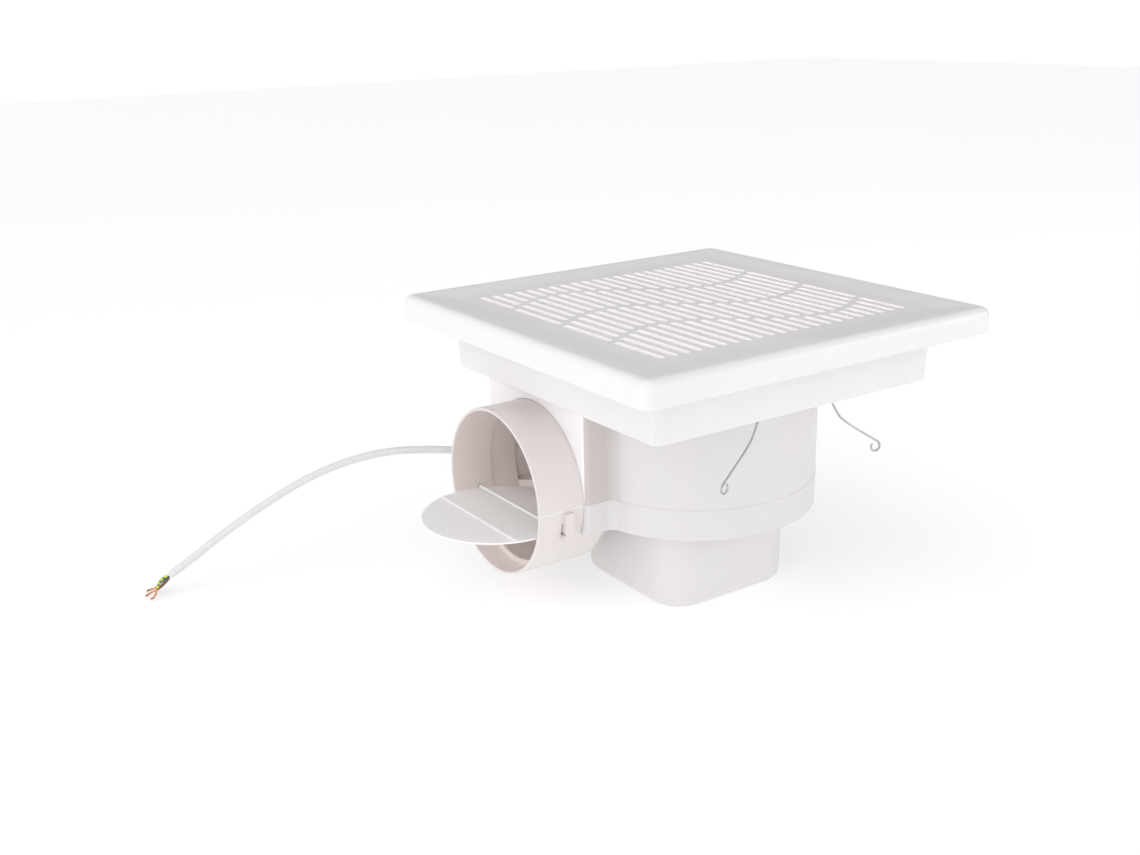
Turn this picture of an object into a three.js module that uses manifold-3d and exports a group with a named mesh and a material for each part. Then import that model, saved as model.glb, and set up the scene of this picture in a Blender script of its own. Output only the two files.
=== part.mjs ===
// Ceiling extractor fan with a side duct, standing on its motor box with the grille on top.
// Millimetres, +Z up. Origin: centre of the motor box's flat bottom. The duct leaves towards -X.
import * as THREE from "three";
import { mergeVertices } from "three/addons/utils/BufferGeometryUtils.js";
import Module from "manifold-3d";

const wasm = await Module();
wasm.setup();

// ---- driving dimensions ----
const GAP = 0.3; // clearance between pieces that touch
const WALL = 2;
const HEIGHT = 207; // bottom of the motor box to the edge of the grille's face

const PANEL = { half: 150, skirt: 17.4, round: 6, corner: 9, draft: 0.8, sheet: 2.2, dish: 1.7 };
const SLOTS = { columns: 22, pitch: 10, width: 4.6, gap: 5.4, barDepth: 5 };
const SLOT_WAVE = { height: 24, period: 220 };
const SLOT_LINES = [-108, -61, -3, 58, 107]; // outer edges and middle lines of the wavy gaps, along Y

const RIM_BOX = { bottom: 154, top: 190.2, half: 120.3, draft: 1.7, corner: 7, edge: 2 };
const FLANGE = { half: 138, corner: 8, thick: 2.5, screwReach: 129, screwSide: 80, screwHole: 2.6 };
const SCROLL = { bottom: 60, start: 85, growth: 18, power: 0.75, neckX: -105, neckY: -23, sideY: 103 };
const TONGUE = { fillet: 8, from: 195 };
const MOTOR_BOX = { halfX: 58, halfY: 59.6, corner: 26, edge: 5.5, draft: 1.2 };
const DUCT = { y: 40, z: 82, radius: 60.5, wall: 2.2, front: -141, back: -86, segments: 40 };
const FUNNEL = { end: -60, radius: 38 }; // narrows from the duct to the scroll, below the neck
const BOSS = { front: -123.2, back: -113, reach: 63, bottom: 57, top: 80 }; // hold the pin
const STOP_TAB = { front: -117.5, back: -116, halfWidth: 4, bottom: 126 };
const STOP_RIDGE = { front: -124.5, back: -122.5, height: 4.5, top: 36 };
const INLET_HOLE = 78;
const ROUND = { large: 36, middle: 24, small: 12, hole: 8 }; // sides of round shapes by size

const FLAP = { pivotX: -120, pivotZ: 64.5, radius: 54.5, offset: 17.5, thick: 1.6, ridge: 34 };
const FLAP_PIN = { radius: 1.2, half: 61.5 };
const RIB_HALF = 50.5;
const FLAP_BARREL = { radius: 2.4, half: 54 };

const IMPELLER = { radius: 66, inner: 54, bottom: 72, top: 140, blades: 26, plate: 2, blade: 1.3 };
const HUB = { radius: 9, top: 96 };
const INLET_SCREW = { place: 83 / Math.SQRT2, head: 3.4, shank: 1.5 };
const BEARING = { radius: 8, width: 5 };
const SHAFT = { radius: 3, bottom: 10, top: 101 };
const MOTOR = { radius: 40, bottom: 12, coreBottom: 24, coreTop: 50, top: 62, shell: 2 };
const BOLT_RING = { radius: 43, ear: 5, shank: 2, head: 3.6, headHeight: 2.5, angles: [45, 225] };
const MOTOR_PLATE = { half: 62, corner: 26, bottom: 62.3, thick: 1.5 };
const POST = { place: 43.8, radius: 5, top: 60, hole: 2.5, holeBottom: 40 };

const PLATE_HOLES = { shaft: 14, grommet: 5.3 };
const GROMMET = { bore: 2.6, neck: 4.9, lip: 7, cap: 2 };
const MOTOR_SCREW = { length: 20, shank: 2.2, head: 4.6 };
const ROTOR = { radius: 20, bore: 20.5 };
const WINDING = { inner: 24, outer: 36, height: 7 };
const HOLDER = { half: 4, gap: 4.5, thick: 2, pin: 2.4, drop: 4 }; // on the panel, for a spring's coil

const SPRING = { coilY: 106.5, coilZ: 192, wire: 0.7, coilRadius: 4.5, coilLength: 5, splay: 14 };
const SPRING_SLOT = { near: 27, far: 42, width: 4 };

const BOX_SCREW = { inset: 4.4, boss: 3.4, hole: 1.7, depth: 9 };
const TERMINAL_BOX = { x0: -80, x1: -20, y0: 103.3, y1: 118, z0: 64, z1: 108, wall: 1.6 };
const GLAND = { y: 111.5, z: 88, root: 6.5, tip: 4, end: -104, flange: 6.2, neck: 4.7 };
const CORD = { radius: 2.8, sheathSteps: 46 };
const CORE = { radius: 1.05, strand: 0.75 };
const LEAD = { x: -30, radius: 2.2, hole: 2.9, dropZ: 48, entryZ: 45 };

// Route of the mains cord from the gland's mouth to the end of its sheath.
const CORD_ROUTE = [
  [-104.6, 111.5, 88], [-110, 111.7, 88], [-118, 113.9, 88.3], [-128, 117.8, 89.1],
  [-146, 125, 91.2], [-168, 133, 92.8],
  [-190, 141, 91], [-211, 148.5, 86], [-233, 156.5, 77.5], [-255, 164, 66], [-277, 172, 52.4],
  [-297, 179.5, 38.5], [-315, 186, 25], [-331, 192, 13.5],
];
// Routes of the three insulated cores from just past the sheath, and of the twisted copper after each.
const CORE_ROUTES = {
  earth: [[-332.8, 192.7, 13.8], [-335.8, 193, 12.2], [-339.4, 191.4, 10.4], [-342, 189.2, 7.6]],
  neutral: [[-331.4, 193.3, 12.2], [-333.6, 195, 10.2], [-336.4, 198, 7.6], [-338.4, 200.2, 4.6]],
  live: [[-332.1, 191.2, 12.2], [-334.8, 191.2, 9.8], [-338, 192.4, 6.8], [-341.2, 194.4, 4]],
};
const COPPER_ROUTES = {
  earth: [[-342.5, 188.7, 6.9], [-343.8, 187.6, 4.6], [-345.6, 186.8, 2.4], [-348.6, 185.8, 1.5]],
  neutral: [[-338.9, 200.8, 3.7], [-340.6, 202, 2.2], [-343.4, 202.8, 1.6], [-346.6, 202.2, 1.4]],
  live: [[-342, 194.9, 3.4], [-344.4, 195.8, 2.4], [-347, 195.4, 1.7], [-349.8, 193.8, 1.4]],
};

// ---- colours and finishes ----
const FINISHES = {
  shell: [0xe9e4e6, 0.38, 0],
  panel: [0xebe7ea, 0.35, 0],
  flap: [0xe6e2e4, 0.4, 0],
  inner: [0xdcdad8, 0.5, 0],
  impeller: [0xd9d9d9, 0.45, 0],
  steel: [0xb9bcc0, 0.3, 1],
  zinc: [0xa9adb3, 0.45, 1],
  laminate: [0x6f7378, 0.55, 1],
  copper: [0xb4602f, 0.35, 1],
  rubber: [0x2a2a2c, 0.8, 0],
  sheath: [0xdedfe0, 0.5, 0],
  earth: [0x8fae2e, 0.5, 0],
  live: [0x7a4a2a, 0.5, 0],
  neutral: [0x2f66b0, 0.5, 0],
  terminal: [0xf1efe6, 0.55, 0],
  capacitor: [0x2c2d33, 0.5, 0],
};

// ---- turning geometry into solids and back ----
function solid(geometry) {
  const plain = new THREE.BufferGeometry();
  plain.setAttribute("position", geometry.getAttribute("position"));
  plain.setIndex(geometry.index);
  const merged = mergeVertices(plain, 1e-3);
  const triVerts = new Uint32Array(merged.index.array);
  const mesh = { numProp: 3, vertProperties: merged.attributes.position.array, triVerts };
  const made = new wasm.Manifold(new wasm.Mesh(mesh));
  if (made.volume() >= 0) return made;
  for (let i = 0; i < triVerts.length; i += 3) {
    [triVerts[i + 1], triVerts[i + 2]] = [triVerts[i + 2], triVerts[i + 1]];
  }
  return new wasm.Manifold(new wasm.Mesh(mesh));
}

function geometryOf(made) {
  const mesh = made.getMesh();
  const points = new Float32Array(mesh.numVert * 3);
  for (let i = 0; i < mesh.numVert; i++) {
    points.set(mesh.vertProperties.subarray(i * mesh.numProp, i * mesh.numProp + 3), i * 3);
  }
  const geometry = new THREE.BufferGeometry();
  geometry.setAttribute("position", new THREE.BufferAttribute(points, 3));
  geometry.setIndex(new THREE.BufferAttribute(new Uint32Array(mesh.triVerts), 1));
  geometry.computeVertexNormals();
  return geometry;
}

const join = (...solids) => solids.reduce((all, one) => all.add(one));
const cut = (from, ...tools) => tools.reduce((left, tool) => left.subtract(tool), from);

// ---- basic shapes ----
// Points of a rectangle with round corners, anticlockwise.
function roundedOutline(halfX, halfY, radius, steps = 6) {
  const points = [];
  const centres = [[1, 1, 0], [-1, 1, 90], [-1, -1, 180], [1, -1, 270]];
  for (const [sideX, sideY, from] of centres) {
    for (let i = 0; i <= steps; i++) {
      const angle = THREE.MathUtils.degToRad(from + (90 * i) / steps);
      const x = sideX * (halfX - radius) + radius * Math.cos(angle);
      const y = sideY * (halfY - radius) + radius * Math.sin(angle);
      points.push(new THREE.Vector2(x, y));
    }
  }
  return points;
}

// A solid through outlines of equal point count, each at its own height.
function loft(layers) {
  const count = layers[0].outline.length;
  const points = layers.flatMap(({ outline, z }) => outline.flatMap((p) => [p.x, p.y, z]));
  const faces = [];
  for (let layer = 0; layer + 1 < layers.length; layer++) {
    for (let i = 0; i < count; i++) {
      const a = layer * count + i;
      const b = layer * count + ((i + 1) % count);
      faces.push(a, b, b + count, a, b + count, a + count);
    }
  }
  const last = (layers.length - 1) * count;
  for (const [a, b, c] of THREE.ShapeUtils.triangulateShape(layers[0].outline, [])) {
    faces.push(a, c, b);
  }
  for (const [a, b, c] of THREE.ShapeUtils.triangulateShape(layers.at(-1).outline, [])) {
    faces.push(last + a, last + b, last + c);
  }
  const geometry = new THREE.BufferGeometry();
  geometry.setAttribute("position", new THREE.Float32BufferAttribute(points, 3));
  geometry.setIndex(faces);
  return solid(geometry);
}

const prism = (outline, z0, z1) => loft([{ outline, z: z0 }, { outline, z: z1 }]);

function box(x0, x1, y0, y1, z0, z1) {
  const geometry = new THREE.BoxGeometry(x1 - x0, y1 - y0, z1 - z0);
  geometry.translate((x0 + x1) / 2, (y0 + y1) / 2, (z0 + z1) / 2);
  return solid(geometry);
}

// A body of revolution about an axis through centre; profile points are [radius, distance along axis].
function turned(profile, { axis = "z", centre = [0, 0, 0], segments = 32 } = {}) {
  const closed = profile[0][0] > 0 ? [...profile, profile[0]] : profile;
  const geometry = new THREE.LatheGeometry(closed.map(([r, along]) => new THREE.Vector2(r, along)), segments);
  if (axis === "z") geometry.rotateX(Math.PI / 2);
  if (axis === "x") geometry.rotateZ(-Math.PI / 2);
  geometry.translate(...centre);
  return solid(geometry);
}

function rod(radius, from, to, options = {}) {
  return turned([[0, from], [radius, from], [radius, to], [0, to]], options);
}

function ring(outer, inner, from, to, options = {}) {
  return turned([[inner, from], [outer, from], [outer, to], [inner, to]], options);
}

// A round bar swept along a smooth curve through the points.
function wire(route, radius, steps, sides = 8) {
  const curve = new THREE.CatmullRomCurve3(route.map((p) => new THREE.Vector3(...p)), false, "centripetal");
  const section = new THREE.Shape();
  for (let i = 0; i < sides; i++) {
    const angle = (2 * Math.PI * i) / sides;
    const place = [radius * Math.cos(angle), radius * Math.sin(angle)];
    if (i === 0) section.moveTo(...place);
    else section.lineTo(...place);
  }
  section.closePath();
  return solid(new THREE.ExtrudeGeometry(section, { steps, extrudePath: curve, bevelEnabled: false }));
}

// ---- the assembly ----
const fan = new THREE.Group();

function place(name, made, finish) {
  const [color, roughness, metalness] = FINISHES[finish];
  const material = new THREE.MeshStandardMaterial({ color, roughness, metalness });
  const mesh = new THREE.Mesh(geometryOf(made), material);
  mesh.name = name;
  fan.add(mesh);
}

const corners = [[1, 1], [-1, 1], [-1, -1], [1, -1]];

// ---- grille panel: tray with a rounded edge, four wavy rows of slots and two spring holders ----
function slotEdge(line, x) {
  return line - SLOT_WAVE.height * Math.sin((2 * Math.PI * x) / SLOT_WAVE.period);
}

function panelLayer(z, inset) {
  const half = PANEL.half - inset;
  return { z, outline: roundedOutline(half, half, PANEL.corner - inset, 4) };
}

function grillePanel() {
  const face = HEIGHT - PANEL.dish;
  const fieldHalf = (SLOTS.columns * SLOTS.pitch) / 2 + 2;
  const bottom = HEIGHT - PANEL.skirt;
  const shoulder = HEIGHT - PANEL.round;
  const layers = [panelLayer(bottom, 0), panelLayer(shoulder, PANEL.draft)];
  for (const angle of [35, 90]) {
    const turn = THREE.MathUtils.degToRad(angle);
    const rise = PANEL.round * Math.sin(turn);
    layers.push(panelLayer(shoulder + rise, PANEL.draft + PANEL.round * (1 - Math.cos(turn))));
  }
  const field = { z: face, outline: roundedOutline(fieldHalf + 6, fieldHalf + 6, 2, 4) };
  layers.push(field);
  const hollow = loft([
    panelLayer(bottom - 1, WALL),
    panelLayer(shoulder, WALL + PANEL.draft),
    panelLayer(face - PANEL.sheet, WALL + PANEL.draft + 3),
  ]);
  const first = SLOT_LINES[0] - 4;
  const last = SLOT_LINES.at(-1) + 4;
  const bars = box(-fieldHalf, fieldHalf, first, last, face - SLOTS.barDepth, face - 1);
  let panel = join(cut(loft(layers), hollow), bars);
  const slots = [];
  for (let column = 0; column < SLOTS.columns; column++) {
    const x = (column - (SLOTS.columns - 1) / 2) * SLOTS.pitch;
    for (let row = 0; row + 1 < SLOT_LINES.length; row++) {
      const outerLow = row === 0;
      const outerHigh = row + 2 === SLOT_LINES.length;
      const low = outerLow ? SLOT_LINES[row] : slotEdge(SLOT_LINES[row], x) + SLOTS.gap / 2;
      const high = outerHigh ? SLOT_LINES[row + 1] : slotEdge(SLOT_LINES[row + 1], x) - SLOTS.gap / 2;
      const [x0, x1] = [x - SLOTS.width / 2, x + SLOTS.width / 2];
      slots.push(box(x0, x1, low, high, face - SLOTS.barDepth - 1, face + 1));
    }
  }
  panel = cut(panel, join(...slots));
  for (const side of [-1, 1]) {
    const y = side * SPRING.coilY;
    const top = face - PANEL.sheet + 1;
    const bottomZ = SPRING.coilZ - HOLDER.drop;
    const { half, gap, thick } = HOLDER;
    for (const offset of [-gap - thick, gap]) {
      panel = join(panel, box(-half, half, y + offset, y + offset + thick, bottomZ, top));
    }
    const pin = rod(HOLDER.pin, -gap - 1, gap + 1, { axis: "y", centre: [0, y, SPRING.coilZ], segments: 12 });
    panel = join(panel, pin);
  }
  place("grille_panel", panel, "panel");
}

// ---- housing: flange, rim box, scroll with neck and funnel, and motor box in one moulding ----
function scrollOutline(inset) {
  const corner = 4.5;
  const points = [];
  const arc = (cx, cy, radius, from, to, steps) => {
    for (let i = 0; i <= steps; i++) {
      const angle = THREE.MathUtils.degToRad(from + ((to - from) * i) / steps);
      points.push(new THREE.Vector2(cx + radius * Math.cos(angle), cy + radius * Math.sin(angle)));
    }
  };
  const neckX = SCROLL.neckX + inset;
  const neckY = SCROLL.neckY + inset;
  const sideY = SCROLL.sideY - inset;
  const inner = Math.max(corner - inset, 1);
  const fillet = TONGUE.fillet + inset;
  const filletY = SCROLL.neckY - TONGUE.fillet;
  const filletX = -Math.sqrt((SCROLL.start + 0.5 + TONGUE.fillet) ** 2 - filletY ** 2);
  const meeting = THREE.MathUtils.radToDeg(Math.atan2(filletY, filletX)) + 360;
  arc(neckX + inner, sideY - inner, inner, 90, 180, 3);
  arc(neckX + inner, neckY + inner, inner, 180, 270, 3);
  arc(filletX, filletY, fillet, 90, meeting - 180, 4);
  const steps = 28;
  for (let i = 1; i <= steps; i++) {
    const angle = meeting + ((450 - meeting) * i) / steps;
    const part = (angle - TONGUE.from) / (450 - TONGUE.from);
    const radius = SCROLL.start + SCROLL.growth * part ** SCROLL.power - inset;
    const turn = THREE.MathUtils.degToRad(angle);
    points.push(new THREE.Vector2(radius * Math.cos(turn), radius * Math.sin(turn)));
  }
  return points;
}

function motorBoxLayer(z, inset) {
  const { halfX, halfY, corner } = MOTOR_BOX;
  const outline = roundedOutline(halfX - inset, halfY - inset, corner - inset, 5);
  return { z, outline };
}

function motorBoxSolid(wall, top) {
  const floor = wall;
  const layers = [];
  const edge = MOTOR_BOX.edge;
  for (const angle of [0, 45, 90]) {
    const turn = THREE.MathUtils.degToRad(angle);
    const inset = wall + MOTOR_BOX.draft + (edge - wall) * (1 - Math.sin(turn));
    layers.push(motorBoxLayer(floor + (edge - wall) * (1 - Math.cos(turn)), inset));
  }
  layers.push(motorBoxLayer(top, wall));
  return loft(layers);
}

function rimBoxSolid(wall, bottom, top) {
  const half = RIM_BOX.half - wall;
  const radius = RIM_BOX.corner - wall;
  const edge = Math.max(RIM_BOX.edge - wall, 0.4);
  const outline = (size, round) => roundedOutline(size, size, round, 3);
  return loft([
    { z: bottom, outline: outline(half - edge, radius - edge) },
    { z: bottom + edge, outline: outline(half, radius) },
    { z: top, outline: outline(half + RIM_BOX.draft, radius) },
  ]);
}

const alongDuct = { axis: "x", centre: [0, DUCT.y, DUCT.z], segments: DUCT.segments };

function funnelSolid(wall, front, end) {
  const radius = DUCT.radius - wall;
  const back = DUCT.back + GAP;
  const tip = FUNNEL.radius - wall;
  return turned([[0, front], [radius, front], [radius, back], [tip, end], [0, end]], alongDuct);
}

function springSlot(sideX, sideY) {
  const turn = THREE.MathUtils.degToRad(SPRING.splay);
  const length = SPRING_SLOT.far - SPRING_SLOT.near;
  const geometry = new THREE.BoxGeometry(length, SPRING_SLOT.width, 3 * WALL + 2);
  geometry.translate((SPRING_SLOT.far + SPRING_SLOT.near) / 2, 0, 0);
  geometry.rotateZ(turn);
  geometry.scale(sideX, sideY, 1);
  geometry.translate(0, sideY * SPRING.coilY, RIM_BOX.bottom + WALL / 2);
  return solid(geometry);
}

function housing() {
  const flangeTop = RIM_BOX.top + FLANGE.thick;
  const flange = prism(roundedOutline(FLANGE.half, FLANGE.half, FLANGE.corner, 4), RIM_BOX.top, flangeTop);
  let body = join(
    rimBoxSolid(0, RIM_BOX.bottom, RIM_BOX.top + 1),
    flange,
    prism(scrollOutline(0), SCROLL.bottom, RIM_BOX.bottom + 1),
    funnelSolid(0, DUCT.back + GAP, FUNNEL.end + 3),
    motorBoxSolid(0, SCROLL.bottom + 1),
  );
  body = cut(
    body,
    rimBoxSolid(WALL, RIM_BOX.bottom + WALL, flangeTop + 1),
    rod(INLET_HOLE, RIM_BOX.bottom - 1, RIM_BOX.bottom + WALL + 1, { segments: ROUND.large }),
    prism(scrollOutline(WALL), SCROLL.bottom + WALL, RIM_BOX.bottom),
    funnelSolid(DUCT.wall, DUCT.back - 1, FUNNEL.end),
    motorBoxSolid(WALL, SCROLL.bottom + WALL + 0.5),
    rod(DUCT.radius + GAP, DUCT.front, DUCT.back + GAP, alongDuct),
  );
  // Posts for the motor's screws.
  for (const [sideX, sideY] of corners) {
    const centre = [sideX * POST.place, sideY * POST.place, 0];
    body = join(body, rod(POST.radius, WALL - 1, POST.top, { centre, segments: ROUND.small }));
    body = cut(body, rod(POST.hole, POST.holeBottom, POST.top + 1, { centre, segments: ROUND.hole }));
  }
  // Screw holes, spring slots and the way in for the motor's lead.
  const holes = [];
  for (const [sideX, sideY] of corners) {
    for (const [x, y] of [[FLANGE.screwReach, FLANGE.screwSide], [FLANGE.screwSide, FLANGE.screwReach]]) {
      const centre = [sideX * x, sideY * y, 0];
      holes.push(rod(FLANGE.screwHole, RIM_BOX.top - 1, flangeTop + 1, { centre, segments: ROUND.hole }));
    }
    holes.push(springSlot(sideX, sideY));
    const inletScrew = [sideX * INLET_SCREW.place, sideY * INLET_SCREW.place, 0];
    const options = { centre: inletScrew, segments: ROUND.hole };
    holes.push(rod(INLET_SCREW.shank + GAP, RIM_BOX.bottom - 1, RIM_BOX.bottom + WALL + 1, options));
  }
  const entry = { axis: "y", centre: [LEAD.x, 0, LEAD.entryZ], segments: ROUND.hole };
  holes.push(rod(LEAD.hole, MOTOR_BOX.halfY - 6, MOTOR_BOX.halfY + 3, entry));
  place("housing", cut(body, ...holes), "shell");
}

// ---- duct collar: the tube that plugs into the neck, with pivot bosses and stops for the flap ----
function ductCollar() {
  const inner = DUCT.radius - DUCT.wall;
  const bore = rod(inner, DUCT.front - 1, DUCT.back + 1, alongDuct);
  let collar = rod(DUCT.radius, DUCT.front, DUCT.back, alongDuct);
  for (const side of [-1, 1]) {
    const [near, far] = [inner, BOSS.reach].map((reach) => DUCT.y + side * reach).sort((a, b) => a - b);
    collar = join(collar, box(BOSS.front, BOSS.back, near, far, BOSS.bottom, BOSS.top));
  }
  const pinHole = rod(FLAP_PIN.radius + GAP, -BOSS.reach - 1, BOSS.reach + 1, {
    axis: "y",
    centre: [FLAP.pivotX, DUCT.y, FLAP.pivotZ],
    segments: ROUND.hole,
  });
  collar = cut(collar, bore, pinHole);
  const { front, back, halfWidth, bottom } = STOP_TAB;
  const tab = box(front, back, DUCT.y - halfWidth, DUCT.y + halfWidth, bottom, DUCT.z + inner + 1);
  const ridge = cut(
    ring(inner + 1, inner - STOP_RIDGE.height, STOP_RIDGE.front, STOP_RIDGE.back, alongDuct),
    box(STOP_RIDGE.front - 1, STOP_RIDGE.back + 1, DUCT.y - 70, DUCT.y + 70, STOP_RIDGE.top, DUCT.z + 70),
  );
  place("duct_collar", join(collar, tab, ridge), "shell");
}

// ---- inlet ring with its screws ----
function inletRing() {
  const floor = RIM_BOX.bottom + WALL + GAP;
  const outer = [];
  const inner = [];
  for (let i = 0; i <= 3; i++) {
    const turn = (Math.PI / 2) * (i / 3);
    outer.push([70 - 12 * Math.sin(turn), floor + WALL - 12 * (1 - Math.cos(turn))]);
    inner.push([70 - 10 * Math.sin(turn), floor - 10 * (1 - Math.cos(turn))]);
  }
  const profile = [[88, floor], [88, floor + WALL], ...outer, ...inner.reverse()];
  let made = turned(profile, { segments: ROUND.large });
  for (const [sideX, sideY] of corners) {
    const centre = [sideX * INLET_SCREW.place, sideY * INLET_SCREW.place, 0];
    const options = { centre, segments: ROUND.hole };
    made = cut(made, rod(INLET_SCREW.shank + GAP, floor - 1, floor + WALL + 1, options));
  }
  place("inlet_ring", made, "inner");
  corners.forEach(([sideX, sideY], i) => {
    const centre = [sideX * INLET_SCREW.place, sideY * INLET_SCREW.place, floor + WALL + GAP];
    const { head, shank } = INLET_SCREW;
    const screw = [[0, -10], [shank, -9], [shank, 0], [head, 0], [head, 1.2], [head * 0.6, 2.2], [0, 2.2]];
    place("inlet_screw_" + (i + 1), turned(screw, { centre, segments: ROUND.small }), "zinc");
  });
}

// ---- impeller: back plate with hub, curved blades and a front ring ----
function impeller() {
  const { radius, inner, bottom, top, plate } = IMPELLER;
  const disc = [[SHAFT.radius + GAP, bottom], [radius, bottom], [radius, bottom + plate]];
  const hub = [[HUB.radius + 4, bottom + plate], [HUB.radius, bottom + plate + 6], [HUB.radius, HUB.top]];
  let made = turned([...disc, ...hub, [SHAFT.radius + GAP, HUB.top]], { segments: 32 });
  made = join(made, ring(radius, radius - 5, top - plate, top, { segments: 32 }));
  const middle = (radius + inner) / 2;
  const reach = (radius - inner) / 2;
  const outline = [];
  const edge = (offset, turn) => {
    const bow = 3.2 * Math.cos((turn * Math.PI) / 2) + offset;
    return new THREE.Vector2(middle + reach * 0.94 * turn, bow);
  };
  for (const turn of [-1, 0, 1]) outline.push(edge(0, turn));
  for (const turn of [1, 0, -1]) outline.push(edge(IMPELLER.blade, turn));
  const blade = prism(outline, bottom + plate - 0.5, top - 0.5);
  const blades = [];
  for (let i = 0; i < IMPELLER.blades; i++) {
    blades.push(blade.rotate([0, 0, (360 * i) / IMPELLER.blades]));
  }
  place("impeller", join(made, ...blades), "impeller");
  const nut = cut(
    rod(6.4, HUB.top + GAP, HUB.top + 5, { segments: 6 }),
    rod(SHAFT.radius + GAP, HUB.top, HUB.top + 6, { segments: ROUND.hole }),
  );
  place("impeller_nut", nut, "zinc");
}

// ---- motor: shaft, rotor, stator, windings, two caps, bearings and through bolts ----
function ears(from, to) {
  return BOLT_RING.angles.map((angle) => {
    return rod(BOLT_RING.ear, from, to, { centre: boltCentre(angle), segments: ROUND.small });
  });
}

function boltCentre(angle) {
  const turn = THREE.MathUtils.degToRad(angle);
  return [BOLT_RING.radius * Math.cos(turn), BOLT_RING.radius * Math.sin(turn), 0];
}

function boltHoles(from, to) {
  const radius = BOLT_RING.shank + GAP;
  return BOLT_RING.angles.map((angle) => {
    return rod(radius, from, to, { centre: boltCentre(angle), segments: ROUND.hole });
  });
}

function motorCap(name, outside, inside, pocketEnd) {
  const away = Math.sign(inside - outside);
  const { radius, shell } = MOTOR;
  const deck = outside + away * shell;
  const bossEnd = pocketEnd + away * GAP;
  const seat = bossEnd - away * (BEARING.width + 2 * GAP);
  const bossRadius = BEARING.radius + 2.5;
  const shaftHole = SHAFT.radius + 1;
  const profile = [
    [shaftHole, outside], [radius, outside], [radius, inside],
    [radius - shell, inside], [radius - shell, deck],
    [bossRadius, deck], [bossRadius, bossEnd], [BEARING.radius + GAP, bossEnd],
    [BEARING.radius + GAP, seat], [shaftHole, seat],
  ];
  const [low, high] = [Math.min(outside, inside), Math.max(outside, inside)];
  const shellSolid = turned(profile, { segments: ROUND.middle });
  const earSolids = ears(low, high);
  const keepOut = rod(radius - shell, low - 1, high + 1, { segments: ROUND.middle });
  const made = join(shellSolid, ...earSolids.map((ear) => cut(ear, keepOut)));
  place(name, cut(made, ...boltHoles(low - 1, high + 1)), "zinc");
}

function motor() {
  const { radius, bottom, coreBottom, coreTop, top } = MOTOR;
  place("motor_shaft", rod(SHAFT.radius, SHAFT.bottom, SHAFT.top, { segments: ROUND.small }), "steel");
  const bore = SHAFT.radius + GAP;
  place("rotor", ring(ROTOR.radius, bore, coreBottom, coreTop, { segments: 24 }), "laminate");
  const stack = ring(radius, ROTOR.bore, coreBottom, coreTop, { segments: ROUND.middle });
  const core = join(stack, ...ears(coreBottom, coreTop));
  const coreBore = rod(ROTOR.bore, coreBottom - 1, coreTop + 1, { segments: ROUND.middle });
  place("stator_core", cut(core, coreBore, ...boltHoles(coreBottom - 1, coreTop + 1)), "laminate");
  const winding = (low, high) => {
    const { inner, outer } = WINDING;
    const profile = [[inner, low], [outer - 1, low], [outer, low + 2], [outer - 2, high], [inner + 2, high]];
    return turned(profile, { segments: 24 });
  };
  place("winding_upper", winding(coreTop + GAP, coreTop + WINDING.height), "copper");
  place("winding_lower", winding(coreBottom - WINDING.height, coreBottom - GAP), "copper");
  motorCap("motor_cap_upper", top, coreTop + GAP, 53);
  motorCap("motor_cap_lower", bottom, coreBottom - GAP, 21);
  place("bearing_upper", ring(BEARING.radius, bore, 53, 53 + BEARING.width, { segments: 16 }), "steel");
  place("bearing_lower", ring(BEARING.radius, bore, 16, 16 + BEARING.width, { segments: 16 }), "steel");
  const plateTop = MOTOR_PLATE.bottom + MOTOR_PLATE.thick;
  BOLT_RING.angles.forEach((angle, i) => {
    const { shank, head, headHeight } = BOLT_RING;
    const under = bottom - GAP;
    const end = plateTop + 6;
    const headEnd = under - headHeight;
    const profile = [[0, headEnd], [head, headEnd], [head, under], [shank, under], [shank, end], [0, end]];
    const bolt = turned(profile, { centre: boltCentre(angle), segments: ROUND.hole });
    place("motor_bolt_" + (i + 1), bolt, "zinc");
    const centre = boltCentre(angle);
    const nut = cut(
      rod(4.2, plateTop + GAP, plateTop + 3.5, { centre, segments: 6 }),
      rod(shank + GAP, plateTop, plateTop + 5, { centre, segments: ROUND.hole }),
    );
    place("motor_bolt_nut_" + (i + 1), nut, "zinc");
  });
}

// ---- motor plate on rubber grommets and screws ----
function motorPlate() {
  const { half, corner, bottom, thick } = MOTOR_PLATE;
  const plateTop = bottom + thick;
  let plate = prism(roundedOutline(half, half, corner, 4), bottom, plateTop);
  const shaftHole = rod(PLATE_HOLES.shaft, bottom - 1, plateTop + 1, { segments: 20 });
  plate = cut(plate, shaftHole, ...boltHoles(bottom - 1, plateTop + 1));
  corners.forEach(([sideX, sideY], i) => {
    const centre = [sideX * POST.place, sideY * POST.place, 0];
    plate = cut(plate, rod(PLATE_HOLES.grommet, bottom - 1, plateTop + 1, { centre, segments: ROUND.small }));
    const { bore, neck, lip, cap } = GROMMET;
    const grommet = [
      [bore, POST.top + GAP], [lip, POST.top + GAP], [lip, bottom - GAP], [neck, bottom - GAP],
      [neck, plateTop + GAP], [lip, plateTop + GAP], [lip, plateTop + cap], [bore, plateTop + cap],
    ];
    place("grommet_" + (i + 1), turned(grommet, { centre, segments: ROUND.small }), "rubber");
    const seat = plateTop + cap + GAP;
    const { length, shank, head } = MOTOR_SCREW;
    const screw = [
      [0, seat - length], [shank, seat - length + 2], [shank, seat], [head, seat],
      [head, seat + 1.4], [head * 0.65, seat + 2.6], [0, seat + 2.6],
    ];
    place("motor_screw_" + (i + 1), turned(screw, { centre, segments: ROUND.small }), "zinc");
  });
  place("motor_plate", plate, "zinc");
}

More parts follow.
